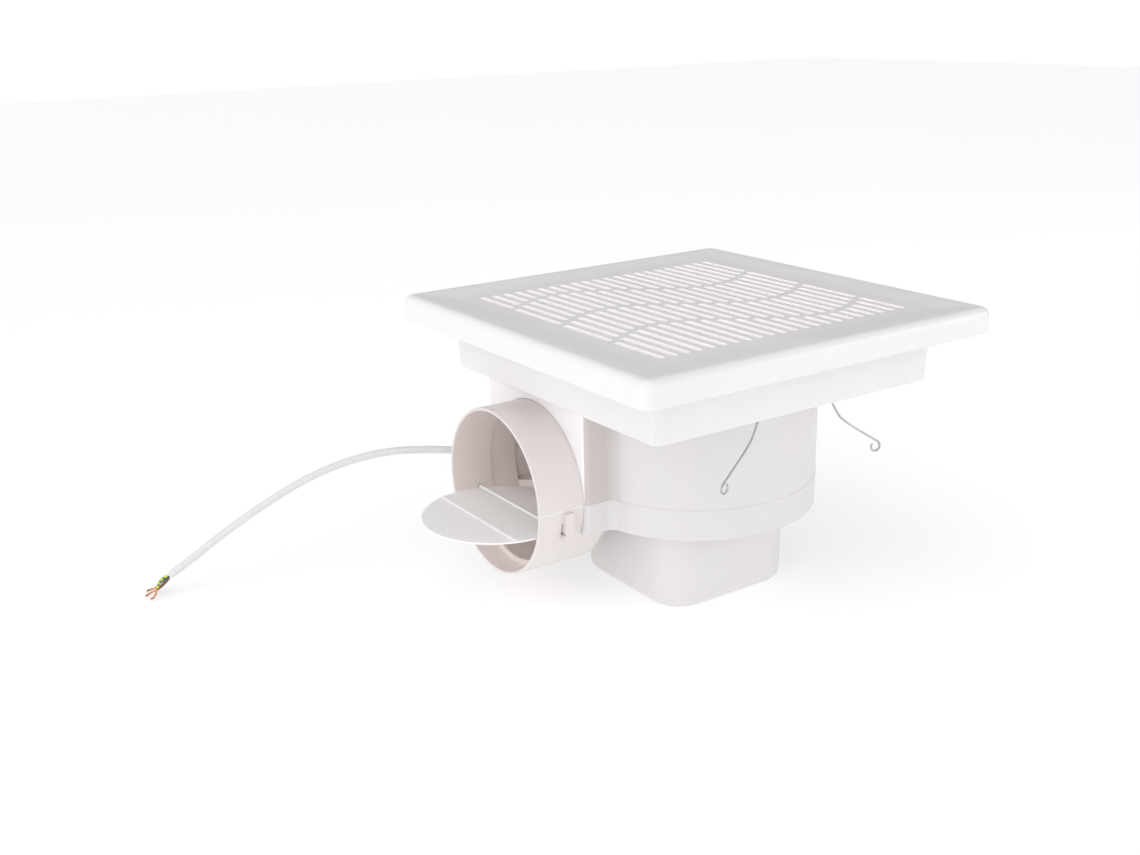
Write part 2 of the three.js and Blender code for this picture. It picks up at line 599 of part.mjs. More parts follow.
// ---- back-draught flap and its pin ----
function flap() {
  const { pivotX, pivotZ, radius, offset, thick, ridge } = FLAP;
  const middle = [pivotX - offset, DUCT.y, pivotZ];
  const pivot = [pivotX, DUCT.y, pivotZ];
  const along = { axis: "y", centre: pivot, segments: ROUND.small };
  const disc = rod(radius, -thick / 2, thick / 2, { centre: middle, segments: DUCT.segments });
  const barrel = rod(FLAP_BARREL.radius, -FLAP_BARREL.half, FLAP_BARREL.half, along);
  const ribX = pivotX - ridge;
  const rib = box(ribX - 1, ribX + 1, DUCT.y - RIB_HALF, DUCT.y + RIB_HALF, pivotZ, pivotZ + thick / 2 + 1);
  const made = cut(join(disc, barrel, rib), rod(FLAP_PIN.radius + GAP, -70, 70, along));
  place("duct_flap", made, "flap");
  place("flap_pin", rod(FLAP_PIN.radius, -FLAP_PIN.half, FLAP_PIN.half, { ...along, segments: 12 }), "steel");
}

// ---- springs that hold the panel: a coil on the panel's pin and two hooked legs each ----
function springLegRoute() {
  // [distance out from the coil, height]; the last points curl round into an open eye.
  const route = [[5.7, 188.9], [20, 170.6], [33, 154], [40, 142.6], [47, 136.4], [60, 127.6], [71.5, 119.8]];
  const eye = 3.4;
  const heading = Math.atan2(-7.8, 11.5);
  const [endX, endZ] = route.at(-1);
  const centreX = endX + eye * Math.sin(heading);
  const centreZ = endZ - eye * Math.cos(heading);
  for (let i = 1; i <= 7; i++) {
    const angle = heading + Math.PI / 2 - i * THREE.MathUtils.degToRad(40);
    route.push([centreX + eye * Math.cos(angle), centreZ + eye * Math.sin(angle)]);
  }
  return route;
}

function springs() {
  const turn = THREE.MathUtils.degToRad(SPRING.splay);
  for (const [side, sideY] of [["front", -1], ["rear", 1]]) {
    const centre = [0, sideY * SPRING.coilY, SPRING.coilZ];
    const { coilRadius, wire: thick, coilLength } = SPRING;
    const options = { axis: "y", centre, segments: 16 };
    const coil = ring(coilRadius + thick, coilRadius - thick, -coilLength / 2, coilLength / 2, options);
    place("spring_coil_" + side, coil, "steel");
    for (const [hand, sideX] of [["left", -1], ["right", 1]]) {
      const route = springLegRoute().map(([out, z]) => {
        return [sideX * out * Math.cos(turn), sideY * (SPRING.coilY + out * Math.sin(turn)), z];
      });
      place("spring_leg_" + side + "_" + hand, wire(route, thick, 24, 5), "steel");
    }
  }
}

// ---- wiring: terminal box with cover, terminal block, capacitor, gland and leads ----
function wiring() {
  const { x0, x1, y0, y1, z0, z1, wall } = TERMINAL_BOX;
  const ports = join(
    rod(5, x0 - 1, x0 + wall + 1, { axis: "x", centre: [0, GLAND.y, GLAND.z], segments: ROUND.small }),
    rod(LEAD.hole, z0 - 1, z0 + wall + 1, { centre: [LEAD.x, GLAND.y, 0], segments: ROUND.hole }),
  );
  let tray = cut(
    box(x0, x1, y0, y1, z0, z1),
    box(x0 + wall, x1 - wall, y0 + wall, y1 + 1, z0 + wall, z1 - wall),
    ports,
  );
  const { inset, boss, hole, depth } = BOX_SCREW;
  const screwPlaces = [[x0 + inset, z1 - inset], [x1 - inset, z0 + inset]];
  for (const [x, z] of screwPlaces) {
    tray = join(tray, rod(boss, y0 + 1, y1, { axis: "y", centre: [x, 0, z], segments: ROUND.small }));
    tray = cut(tray, rod(hole, y1 - depth, y1 + 1, { axis: "y", centre: [x, 0, z], segments: ROUND.hole }));
  }
  place("terminal_box", tray, "shell");
  let cover = box(x0, x1, y1 + GAP, y1 + GAP + 1.6, z0, z1);
  screwPlaces.forEach(([x, z], i) => {
    cover = cut(cover, rod(hole, y1 - 1, y1 + 4, { axis: "y", centre: [x, 0, z], segments: ROUND.hole }));
    const seat = y1 + 2 * GAP + 1.6;
    const screw = [[0, -9], [1.4, -8], [1.4, 0], [2.8, 0], [2.8, 0.8], [1.6, 1.5], [0, 1.5]];
    const options = { axis: "y", centre: [x, seat, z], segments: 12 };
    place("cover_screw_" + (i + 1), turned(screw, options), "zinc");
  });
  place("terminal_cover", cover, "shell");
  let block = box(-62, -38, y0 + wall + GAP, y0 + wall + 9, 71, 81);
  for (const x of [-54, -46]) {
    block = cut(block, box(x - 0.8, x + 0.8, y0 + wall + 5, y0 + wall + 10, 70, 82));
  }
  place("terminal_block", block, "terminal");
  place("capacitor", box(-62, -30, y0 + wall + GAP, y0 + wall + 11.5, 90, 104), "capacitor");
  const { root, tip, end, flange, neck } = GLAND;
  const gland = [
    [0, x0 + wall + 2.4], [flange, x0 + wall + 2.4], [flange, x0 + wall + GAP], [neck, x0 + wall + GAP],
    [neck, x0 - GAP], [root, x0 - GAP], [root, x0 - 3], [root - 1.3, x0 - 4], [tip, end], [0, end],
  ];
  place("cable_gland", turned(gland, { axis: "x", centre: [0, GLAND.y, GLAND.z], segments: 16 }), "inner");
  const leadRoute = [
    [LEAD.x, GLAND.y, 69], [LEAD.x, GLAND.y, 60], [LEAD.x, GLAND.y - 4, LEAD.dropZ],
    [LEAD.x, GLAND.y - 16, LEAD.entryZ], [LEAD.x, 76, LEAD.entryZ], [LEAD.x, 60, LEAD.entryZ],
    [LEAD.x, 48, LEAD.entryZ],
  ];
  place("motor_lead", wire(leadRoute, LEAD.radius, 18, 6), "sheath");
}

// ---- mains cord with its three bare cores ----
function cord() {
  place("power_cord", wire(CORD_ROUTE, CORD.radius, CORD.sheathSteps, 8), "sheath");
  for (const name of ["earth", "neutral", "live"]) {
    place("core_" + name, wire(CORE_ROUTES[name], CORE.radius, 6, 8), name);
    place("copper_" + name, wire(COPPER_ROUTES[name], CORE.strand, 6, 6), "copper");
  }
}

housing();
ductCollar();
grillePanel();
inletRing();
impeller();
motor();
motorPlate();
flap();
springs();
wiring();
cord();

export default fan;
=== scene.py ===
"""Looks of a ceiling extractor fan that stands on its motor box, with the grille on top.

Shapes are worked out in millimetres in the part's own frame and put in the scene in metres.
"""
from math import atan2, cos, degrees, pi, radians, sin, sqrt

import bmesh
import bpy
from mathutils import Matrix, Vector


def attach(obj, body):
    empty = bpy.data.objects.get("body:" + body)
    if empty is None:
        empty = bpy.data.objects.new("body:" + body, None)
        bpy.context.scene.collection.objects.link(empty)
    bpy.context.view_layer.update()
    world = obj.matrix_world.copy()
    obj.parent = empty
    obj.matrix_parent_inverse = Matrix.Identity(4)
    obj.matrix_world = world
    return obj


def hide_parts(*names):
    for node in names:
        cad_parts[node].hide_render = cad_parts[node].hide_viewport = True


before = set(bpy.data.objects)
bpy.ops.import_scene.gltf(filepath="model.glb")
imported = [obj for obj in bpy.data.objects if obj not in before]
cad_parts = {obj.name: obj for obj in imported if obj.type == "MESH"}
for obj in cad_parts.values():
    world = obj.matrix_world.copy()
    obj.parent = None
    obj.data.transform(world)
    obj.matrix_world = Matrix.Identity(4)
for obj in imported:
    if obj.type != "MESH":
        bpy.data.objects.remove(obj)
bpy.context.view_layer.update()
scene = bpy.context.scene
MM = 0.001

# ---- sizes, in millimetres, as in the part ----
WALL = 2
GAP = 0.3
FACE_TOP = 207
PANEL = {"half": 150, "skirt": 17.4, "round": 6, "corner": 9, "draft": 0.8, "sheet": 2.2, "dish": 1.7}
FIELD_HALF = 118
SLOTS = {"columns": 22, "pitch": 10, "width": 4.6, "gap": 5.4, "depth": 5, "edge": 0.45}
SLOT_WAVE = {"height": 24, "period": 220}
SLOT_LINES = (-108, -61, -3, 58, 107)
RIM_BOX = {"bottom": 154, "top": 190.2, "half": 120.3, "draft": 1.7, "corner": 7, "edge": 2}
FLANGE = {"half": 138, "corner": 8, "thick": 2.5, "reach": 129, "side": 80, "hole": 2.6}
SCROLL = {"bottom": 60, "start": 85, "growth": 18, "power": 0.75, "neck_x": -105, "neck_y": -23,
          "side_y": 103}
TONGUE = {"fillet": 8, "from": 195}
MOTOR_BOX = {"half_x": 58, "half_y": 59.6, "corner": 26, "edge": 5.5, "draft": 1.2}
DUCT = {"y": 40, "z": 82, "radius": 60.5, "wall": 2.2, "front": -141, "back": -86}
BORE_STEP = {"x": -107.5, "deeper": 0.9}
FUNNEL = {"end": -60, "radius": 38, "bow": 2.2}
INLET_HOLE = 78
FLAP = {"x": -120, "z": 64.5, "radius": 54.5, "offset": 17.5, "thick": 1.6, "ridge": 34}
BARREL = {"radius": 1.85, "half": 54}
RIB_HALF = 50.5
BOSS = {"x": -117.6, "half": 3.6, "reach": 63, "bottom": 60.5, "top": 79.5}
STOP_TAB = {"front": -117.5, "back": -116, "half": 4, "bottom": 126}
STOP_RIDGE = {"front": -124.5, "back": -122.5, "height": 4.5, "top": 36}
BOSS_GROOVE = {"near": 0.1, "far": 1.2, "depth": 4, "short": 7}
BOSS_NOTCH = {"half": 1.1, "height": 1.4}
RIM_NOTCH = {"front": -140, "back": -138, "half": 1.2}
PARTING = {"low": 81.75, "high": 82.25, "raised": 0.26}
BELL = {"edge": 88, "shoulder": 70}
INLET_SCREW = {"ring": 83, "hole": 1.8}
PIN = {"radius": 1.2, "half": 61.5}
SPRING = {"y": 106.5, "z": 192, "wire": 0.7, "radius": 4.5, "length": 5, "splay": 14}
HOLDER = {"half": 4, "gap": 4.5, "thick": 2, "pin": 2.4, "drop": 4}
SPRING_SLOT = {"near": 27, "far": 42, "width": 4}
POST = {"place": 43.8, "radius": 5, "top": 60, "hole": 2.5, "bottom": 40}
LEAD = {"x": -30, "hole": 2.9, "z": 45}
CORD_RADIUS = 2.8
CORE_RADIUS = 1.05
STRAND_RADIUS = 0.75
SIDES = ((1, 1), (-1, 1), (-1, -1), (1, -1))

# The part's own routes, in metres: the cord to the end of its sheath, its cores and their copper.
CORD_ROUTE = [
    (-0.1046, 0.1115, 0.088), (-0.110, 0.1117, 0.088), (-0.118, 0.1139, 0.0883), (-0.128, 0.1178, 0.0891),
    (-0.146, 0.125, 0.0912), (-0.168, 0.133, 0.0928), (-0.190, 0.141, 0.091), (-0.211, 0.1485, 0.086),
    (-0.233, 0.1565, 0.0775), (-0.255, 0.164, 0.066), (-0.277, 0.172, 0.0524), (-0.297, 0.1795, 0.0385),
    (-0.315, 0.186, 0.025), (-0.331, 0.192, 0.0135),
]
CORE_ROUTES = {
    "earth": [(-0.3328, 0.1927, 0.0138), (-0.3358, 0.193, 0.0122), (-0.3394, 0.1914, 0.0104),
              (-0.342, 0.1892, 0.0076)],
    "neutral": [(-0.3314, 0.1933, 0.0122), (-0.3336, 0.195, 0.0102), (-0.3364, 0.198, 0.0076),
                (-0.3384, 0.2002, 0.0046)],
    "live": [(-0.3321, 0.1912, 0.0122), (-0.3348, 0.1912, 0.0098), (-0.338, 0.1924, 0.0068),
             (-0.3412, 0.1944, 0.004)],
}
COPPER_ROUTES = {
    "earth": [(-0.3425, 0.1887, 0.0069), (-0.3438, 0.1876, 0.0046), (-0.3456, 0.1868, 0.0024),
              (-0.3486, 0.1858, 0.0015)],
    "neutral": [(-0.3389, 0.2008, 0.0037), (-0.3406, 0.202, 0.0022), (-0.3434, 0.2028, 0.0016),
                (-0.3466, 0.2022, 0.0014)],
    "live": [(-0.342, 0.1949, 0.0034), (-0.3444, 0.1958, 0.0024), (-0.347, 0.1954, 0.0017),
             (-0.3498, 0.1938, 0.0014)],
}


# ---- camera ----
def make_camera():
    azimuth, elevation, roll = (radians(a) for a in (-123.75, 18.24, -1.267))
    aim = Vector((-0.0852, 0.0236, 0.1229))
    distance = 0.9247
    back = Vector((cos(elevation) * cos(azimuth), cos(elevation) * sin(azimuth),
                   sin(elevation)))
    right = (-back).cross(Vector((0, 0, 1))).normalized()
    up = right.cross(-back)
    turned_right = cos(roll) * right + sin(roll) * up
    turned_up = -sin(roll) * right + cos(roll) * up
    data = bpy.data.cameras.new("camera")
    data.sensor_width = 36
    data.lens = 41.12
    data.clip_start = 0.01
    camera = bpy.data.objects.new("camera", data)
    scene.collection.objects.link(camera)
    axes = Matrix((turned_right, turned_up, back)).transposed()
    camera.matrix_world = Matrix.Translation(aim + distance * back) @ axes.to_4x4()
    scene.camera = camera


make_camera()


# ---- material building ----
class Nodes:
    """A short way to wire a material's nodes."""

    def __init__(self, name):
        self.material = bpy.data.materials.new(name)
        self.material.use_nodes = True
        self.tree = self.material.node_tree
        self.shader = self.tree.nodes["Principled BSDF"]
        self.place = self.add("ShaderNodeTexCoord").outputs["Object"]

    def add(self, kind, **settings):
        node = self.tree.nodes.new(kind)
        for key, value in settings.items():
            if key in node.inputs:
                node.inputs[key].default_value = value
            else:
                setattr(node, key, value)
        return node

    def link(self, source, target):
        self.tree.links.new(source, target)

    def noise(self, scale, detail=3, roughness=0.5, stretch=None):
        node = self.add("ShaderNodeTexNoise", Scale=scale, Detail=detail, Roughness=roughness)
        place = self.place
        if stretch:
            mapping = self.add("ShaderNodeMapping", Scale=stretch)
            self.link(place, mapping.inputs["Vector"])
            place = mapping.outputs["Vector"]
        self.link(place, node.inputs["Vector"])
        return node.outputs["Fac"]

    def spread(self, value, low, high, start=0.3, end=0.7):
        limits = {"From Min": start, "From Max": end, "To Min": low, "To Max": high}
        node = self.add("ShaderNodeMapRange", **limits)
        self.link(value, node.inputs["Value"])
        return node.outputs["Result"]

    def blend(self, value, first, second):
        node = self.add("ShaderNodeMix", data_type="RGBA")
        self.link(value, node.inputs["Factor"])
        for socket, colour in ((6, first), (7, second)):
            if isinstance(colour, tuple):
                node.inputs[socket].default_value = (*colour, 1)
            else:
                self.link(colour, node.inputs[socket])
        return node.outputs[2]

    def bump(self, height, depth, previous=None):
        node = self.add("ShaderNodeBump", Strength=1, Distance=depth)
        self.link(height, node.inputs["Height"])
        if previous:
            self.link(previous, node.inputs["Normal"])
        self.link(node.outputs["Normal"], self.shader.inputs["Normal"])
        return node.outputs["Normal"]

    def feed(self, **sources):
        """Links node outputs to the shader's inputs."""
        for key, source in sources.items():
            self.link(source, self.shader.inputs[key.replace("_", " ")])

    def along(self, axis):
        split = self.add("ShaderNodeSeparateXYZ")
        self.link(self.place, split.inputs[0])
        return split.outputs[axis]

    def set(self, **values):
        for key, value in values.items():
            self.shader.inputs[key.replace("_", " ")].default_value = value


def tone(colour, factor):
    return tuple(min(1, channel * factor) for channel in colour)


def moulded_plastic(name, colour, roughness=0.38, grain=0.00002, flow=0.000025, lower=1.0, painted_glow=0, fade=None):
    """Injection-moulded plastic: faint flow streaks, a fine orange peel, dust and dull handled patches.

    lower is painted shade, which darkens the part below the rim box; glow is painted light: an emission that
    makes the part shine though it is no lamp;
    fade is another colour, for painted shade, and the two places along Y between which it takes over.
    """
    n = Nodes(name)
    cloud = n.noise(9, detail=4)
    streak = n.noise(14, detail=3, stretch=(1, 1, 0.12))
    dust = n.noise(420, detail=2, roughness=0.7)
    shade = n.blend(n.spread(cloud, 0, 1), tone(colour, 0.975), tone(colour, 1.01))
    warm = (colour[0] * 0.985, colour[1] * 0.965, colour[2] * 0.95)
    shade = n.blend(n.spread(streak, 0, 0.5, 0.45, 0.8), shade, warm)
    shade = n.blend(n.spread(dust, 0, 0.35, 0.66, 0.8), shade, tone(colour, 0.86))
    # Painted shade: the part below the rim box is multiplied darker.
    if lower < 1:
        height = n.spread(n.along("Z"), 1, 0, 0.135, 0.156)
        grey = n.add("ShaderNodeMix", data_type="RGBA", blend_type="MULTIPLY")
        grey.inputs[7].default_value = (lower, lower * 0.995, lower * 0.99, 1)
        n.link(height, grey.inputs["Factor"])
        n.link(shade, grey.inputs[6])
        shade = grey.outputs[2]
    # Painted shade: another colour takes over between two places along Y.
    if fade:
        shade = n.blend(n.spread(n.along("Y"), 0, 1, fade[1], fade[2]), shade, fade[0])
    patches = n.spread(n.noise(30, detail=5, roughness=0.6), roughness - 0.06, roughness + 0.09)
    n.feed(Base_Color=shade, Roughness=patches)
    wavy = n.bump(n.noise(26, detail=1, stretch=(1, 1, 0.4)), flow)
    n.bump(n.noise(1500, detail=2), grain, wavy)
    n.set(IOR=1.5, Specular_IOR_Level=0.5)
    # Painted light: an emission makes the part shine though it is no lamp.
    if painted_glow:
        n.set(Emission_Color=(*colour, 1), Emission_Strength=painted_glow)
    return n.material


def drawn_steel(name, colour, roughness=0.3, streak_scale=(1, 1, 1)):
    """Plated or drawn steel with fine scratches and duller spots."""
    n = Nodes(name)
    spots = n.noise(120, detail=4)
    scratch = n.noise(900, detail=2, stretch=streak_scale)
    shade = n.blend(n.spread(spots, 0, 1), tone(colour, 0.8), tone(colour, 1.08))
    n.feed(Base_Color=shade, Roughness=n.spread(scratch, roughness - 0.08, roughness + 0.14))
    n.bump(scratch, 0.000015)
    n.set(Metallic=1.0)
    return n.material


def wound_copper(name):
    """Enamelled winding wire: close turns that show as fine rings."""
    n = Nodes(name)
    wave = n.add("ShaderNodeTexWave", Scale=320, Distortion=1.5, wave_type="RINGS", rings_direction="Z")
    n.link(n.place, wave.inputs["Vector"])
    shade = n.blend(wave.outputs["Fac"], (0.30, 0.11, 0.04), (0.72, 0.33, 0.15))
    n.feed(Base_Color=shade)
    n.bump(wave.outputs["Fac"], 0.0002)
    n.set(Metallic=0.8, Roughness=0.34)
    return n.material


def stacked_laminate(name):
    """Edges of thin electrical steel sheets with a little rust."""
    n = Nodes(name)
    wave = n.add("ShaderNodeTexWave", Scale=300, bands_direction="Z")
    n.link(n.place, wave.inputs["Vector"])
    steel = n.blend(wave.outputs["Fac"], (0.16, 0.17, 0.18), (0.42, 0.43, 0.44))
    shade = n.blend(n.spread(n.noise(60, detail=5), 0, 0.6, 0.55, 0.75), steel, (0.24, 0.13, 0.07))
    n.feed(Base_Color=shade)
    n.bump(wave.outputs["Fac"], 0.00012)
    n.set(Metallic=0.7, Roughness=0.55)
    return n.material


def soft_rubber(name):
    n = Nodes(name)
    shade = n.blend(n.spread(n.noise(90, detail=4), 0, 1), (0.018, 0.018, 0.02), (0.06, 0.06, 0.062))
    n.feed(Base_Color=shade, Roughness=n.spread(n.noise(200), 0.65, 0.85))
    n.bump(n.noise(1200), 0.00004)
    return n.material


def cable_sheath(name, colour, roughness=0.42):
    """Extruded PVC: soft sheen, faint lengthwise drag and a few grey scuffs."""
    n = Nodes(name)
    scuff = n.noise(160, detail=5, roughness=0.7)
    shade = n.blend(n.spread(scuff, 0, 1, 0.5, 0.8), colour, tone(colour, 0.86))
    n.feed(Base_Color=shade, Roughness=n.spread(n.noise(80), roughness - 0.05, roughness + 0.1))
    n.bump(n.noise(700, detail=3), 0.00003)
    n.set(Coat_Weight=0.08, Coat_Roughness=0.3)
    return n.material


def striped_core(name, base, stripe):
    """Green insulation with two yellow stripes that wind slowly round it."""
    n = Nodes(name)
    wave = n.add("ShaderNodeTexWave", Scale=115, Distortion=0.3, bands_direction="DIAGONAL")
    n.link(n.place, wave.inputs["Vector"])
    edge = n.spread(wave.outputs["Fac"], 0, 1, 0.46, 0.54)
    n.feed(Base_Color=n.blend(edge, base, stripe))
    n.bump(n.noise(900), 0.00002)
    n.set(Roughness=0.42)
    return n.material


# The shell's colour below the rim box, with its painted shade.
SHELL_PAINTED_SHADE = (0.753, 0.738, 0.739)
# white_shell is darkened below the rim box: painted shade.
white_shell = moulded_plastic("white_shell", (0.865, 0.848, 0.85), 0.36, lower=0.87)
white_panel = moulded_plastic("white_panel", (0.87, 0.855, 0.868), 0.34, flow=0.00003)
# The duct tube: a darker, pinker copy of the shell's white, painted shade with a painted reflected tint.
duct_painted_shade = moulded_plastic("duct_painted_shade", (0.785, 0.735, 0.722), 0.34)
white_flap = moulded_plastic("white_flap", (0.93, 0.915, 0.92), 0.4)
# Inside the scroll, the funnel and the bore: a brighter, pinker copy of the shell's white, painted bounce
# light.
inside_painted_light = moulded_plastic("inside_painted_light", (0.93, 0.845, 0.815), 0.45)
# Deeper in the bore: a darker, warmer copy, painted shade in the recess.
deep_inside_painted_shade = moulded_plastic("deep_inside_painted_shade", (0.92, 0.82, 0.785), 0.45)
# The slot walls: a brighter copy of the panel's white with an emission, painted light.
slot_wall_painted_light = moulded_plastic("slot_wall_painted_light", (0.97, 0.925, 0.94), 0.4, painted_glow=0.16)
# The neck's front wall and the parting line: a brighter copy of the shell's white, painted light.
neck_front_painted_light = moulded_plastic("neck_front_painted_light", (0.97, 0.94, 0.955), 0.36)
# The neck's side wall: painted shade, a darker tint that fades into the shell's painted shade along Y.
neck_side_painted_shade = moulded_plastic("neck_side_painted_shade", (0.62, 0.575, 0.565), 0.36, fade=(SHELL_PAINTED_SHADE, -0.0235, -0.0315))
inner_plastic = moulded_plastic("inner_plastic", (0.80, 0.785, 0.775), 0.48, grain=0.00004)
impeller_plastic = moulded_plastic("impeller_plastic", (0.74, 0.74, 0.735), 0.45)
terminal_plastic = moulded_plastic("terminal_plastic", (0.84, 0.82, 0.74), 0.5)
capacitor_plastic = moulded_plastic("capacitor_plastic", (0.035, 0.036, 0.045), 0.45)
spring_steel = drawn_steel("spring_steel", (0.50, 0.50, 0.51), 0.27)
shaft_steel = drawn_steel("shaft_steel", (0.66, 0.67, 0.69), 0.26, (1, 1, 8))
zinc_steel = drawn_steel("zinc_steel", (0.60, 0.61, 0.60), 0.42)
laminate_steel = stacked_laminate("laminate_steel")
copper_winding = wound_copper("copper_winding")
copper_strand = drawn_steel("copper_strand", (0.82, 0.42, 0.24), 0.3)
rubber = soft_rubber("rubber")
sheath_plastic = cable_sheath("cord_sheath", (0.76, 0.76, 0.76))
earth_plastic = striped_core("core_earth", (0.10, 0.36, 0.06), (0.80, 0.72, 0.05))
live_plastic = cable_sheath("core_live", (0.20, 0.085, 0.03))
neutral_plastic = cable_sheath("core_neutral", (0.03, 0.13, 0.48))


# ---- shape building, in millimetres ----
def new_object(name, mesh, material=None):
    made = bpy.data.objects.new(name, mesh)
    scene.collection.objects.link(made)
    if material:
        mesh.materials.append(material)
    return made


def quarter(steps):
    """(sine, cosine) at even steps over a quarter turn."""
    turns = [pi / 2 * i / steps for i in range(steps + 1)]
    return [(sin(turn), cos(turn)) for turn in turns]


def mesh_from(name, points, faces, material=None):
    mesh = bpy.data.meshes.new(name)
    mesh.from_pydata([Vector(p) * MM for p in points], [], faces)
    mesh.update()
    return new_object(name, mesh, material)


def rounded_outline(half_x, half_y, radius, steps=10):
    """Points of a rectangle with round corners, anticlockwise."""
    points = []
    for (side_x, side_y), start in zip(SIDES, (0, 90, 180, 270)):
        for i in range(steps + 1):
            angle = radians(start + 90 * i / steps)
            points.append((side_x * (half_x - radius) + radius * cos(angle),
                           side_y * (half_y - radius) + radius * sin(angle)))
    return points


def rings_solid(name, rings, material=None):
    """A closed solid through rings of equal point count, with flat ends."""
    count = len(rings[0])
    points = [p for ring in rings for p in ring]
    faces = [tuple(reversed(range(count)))]
    for layer in range(len(rings) - 1):
        for i in range(count):
            a, b = layer * count + i, layer * count + (i + 1) % count
            faces.append((a, b, b + count, a + count))
    last = (len(rings) - 1) * count
    faces.append(tuple(last + i for i in range(count)))
    return mesh_from(name, points, faces, material)


def loft(name, layers):
    return rings_solid(name, [[(x, y, z) for x, y in outline] for outline, z in layers])


def prism(name, outline, low, high):
    return loft(name, [(outline, low), (outline, high)])


def about(middle, half):
    return middle - half, middle + half


def block(name, x, y, z):
    outline = [(x[1], y[0]), (x[1], y[1]), (x[0], y[1]), (x[0], y[0])]
    return prism(name, outline, z[0], z[1])


def around(axis, centre, radius, along, angle):
    """A point at a radius and an angle round an axis through centre."""
    c, s = radius * cos(angle), radius * sin(angle)
    local = {"x": (along, c, s), "y": (s, along, c), "z": (c, s, along)}[axis]
    return tuple(p + q for p, q in zip(local, centre))


def turned(name, profile, axis="z", centre=(0, 0, 0), segments=96, material=None):
    """A body of revolution from a loop of (radius, along), off the axis or with two ends on it."""
    solid = profile[0][0] < 1e-6
    used = profile[1:-1] if solid else profile
    points, faces = [], []
    for i in range(segments):
        angle = 2 * pi * i / segments
        points += [around(axis, centre, r, along, angle) for r, along in used]
    size = len(used)
    pairs = range(size - 1) if solid else range(size)
    for i in range(segments):
        j = (i + 1) % segments
        for k in pairs:
            m = (k + 1) % size
            faces.append((i * size + k, j * size + k, j * size + m, i * size + m))
    if solid:
        faces.append(tuple(i * size for i in reversed(range(segments))))
        faces.append(tuple(i * size + size - 1 for i in range(segments)))
    made = mesh_from(name, points, faces, material)
    face_out(made)
    return made


def rod(name, radius, low, high, axis="z", centre=(0, 0, 0), segments=96):
    return turned(name, [(0, low), (radius, low), (radius, high), (0, high)], axis, centre, segments)


def face_out(made):
    work = bmesh.new()
    work.from_mesh(made.data)
    bmesh.ops.recalc_face_normals(work, faces=work.faces)
    if work.calc_volume(signed=True) < 0:
        bmesh.ops.reverse_faces(work, faces=work.faces)
    work.to_mesh(made.data)
    work.free()


def settle(made):
    """Applies the object's modifiers to its mesh."""
    bpy.context.view_layer.update()
    graph = bpy.context.evaluated_depsgraph_get()
    mesh = bpy.data.meshes.new_from_object(made.evaluated_get(graph), depsgraph=graph)
    made.modifiers.clear()
    old = made.data
    made.data = mesh
    bpy.data.meshes.remove(old)
    return made


def combine(made, operation, *tools):
    for tool in tools:
        face_out(tool)
        change = made.modifiers.new(operation, "BOOLEAN")
        change.operation = operation
        change.solver = "EXACT"
        change.material_mode = "TRANSFER" if tool.data.materials else "INDEX"
        change.object = tool
        settle(made)
        bpy.data.objects.remove(tool)
    return made


def join(made, *tools):
    return combine(made, "UNION", *tools)


def cut(made, *tools):
    return combine(made, "DIFFERENCE", *tools)


def in_material(made, material):
    """Gives a solid its own material, which its faces keep through joins and cuts."""
    made.data.materials.append(material)
    return made


def paint(made, material, wanted):
    """Puts a material on the faces that wanted picks by their centre, in millimetres, and their normal."""
    made.data.materials.append(material)
    index = len(made.data.materials) - 1
    for face in made.data.polygons:
        if wanted(face.center / MM, face.normal):
            face.material_index = index


def merge(name, parts, material=None):
    """Puts separate closed bodies in one object."""
    work = bmesh.new()
    for part in parts:
        work.from_mesh(part.data)
        bpy.data.objects.remove(part)
    mesh = bpy.data.meshes.new(name)
    work.to_mesh(mesh)
    work.free()
    return new_object(name, mesh, material)


def smooth(made, angle=38):
    """Smooths the shading, except across edges that bend more than angle."""
    made.data.polygons.foreach_set("use_smooth", [True] * len(made.data.polygons))
    made.data.set_sharp_from_angle(angle=radians(angle))


def round_edges(made, width, segments, angle):
    rounding = made.modifiers.new("rounding", "BEVEL")
    rounding.width = width * MM
    rounding.segments = segments
    rounding.limit_method = "ANGLE"
    rounding.angle_limit = radians(angle)
    return rounding


def dress(made, material, bevel=0.5, segments=2):
    """Rounds the sharp edges, smooths the shading and puts the material on."""
    if bevel:
        work = bmesh.new()
        work.from_mesh(made.data)
        bmesh.ops.remove_doubles(work, verts=work.verts, dist=0.00002)
        bmesh.ops.dissolve_degenerate(work, dist=0.00001, edges=work.edges)
        work.to_mesh(made.data)
        work.free()
        round_edges(made, bevel, segments, 35).miter_outer = "MITER_ARC"
        settle(made)
    if not any(made.data.materials):
        made.data.materials.clear()
        made.data.materials.append(material)
    smooth(made)
    weighting = made.modifiers.new("weighting", "WEIGHTED_NORMAL")
    weighting.keep_sharp = True
    weighting.weight = 90
    return made


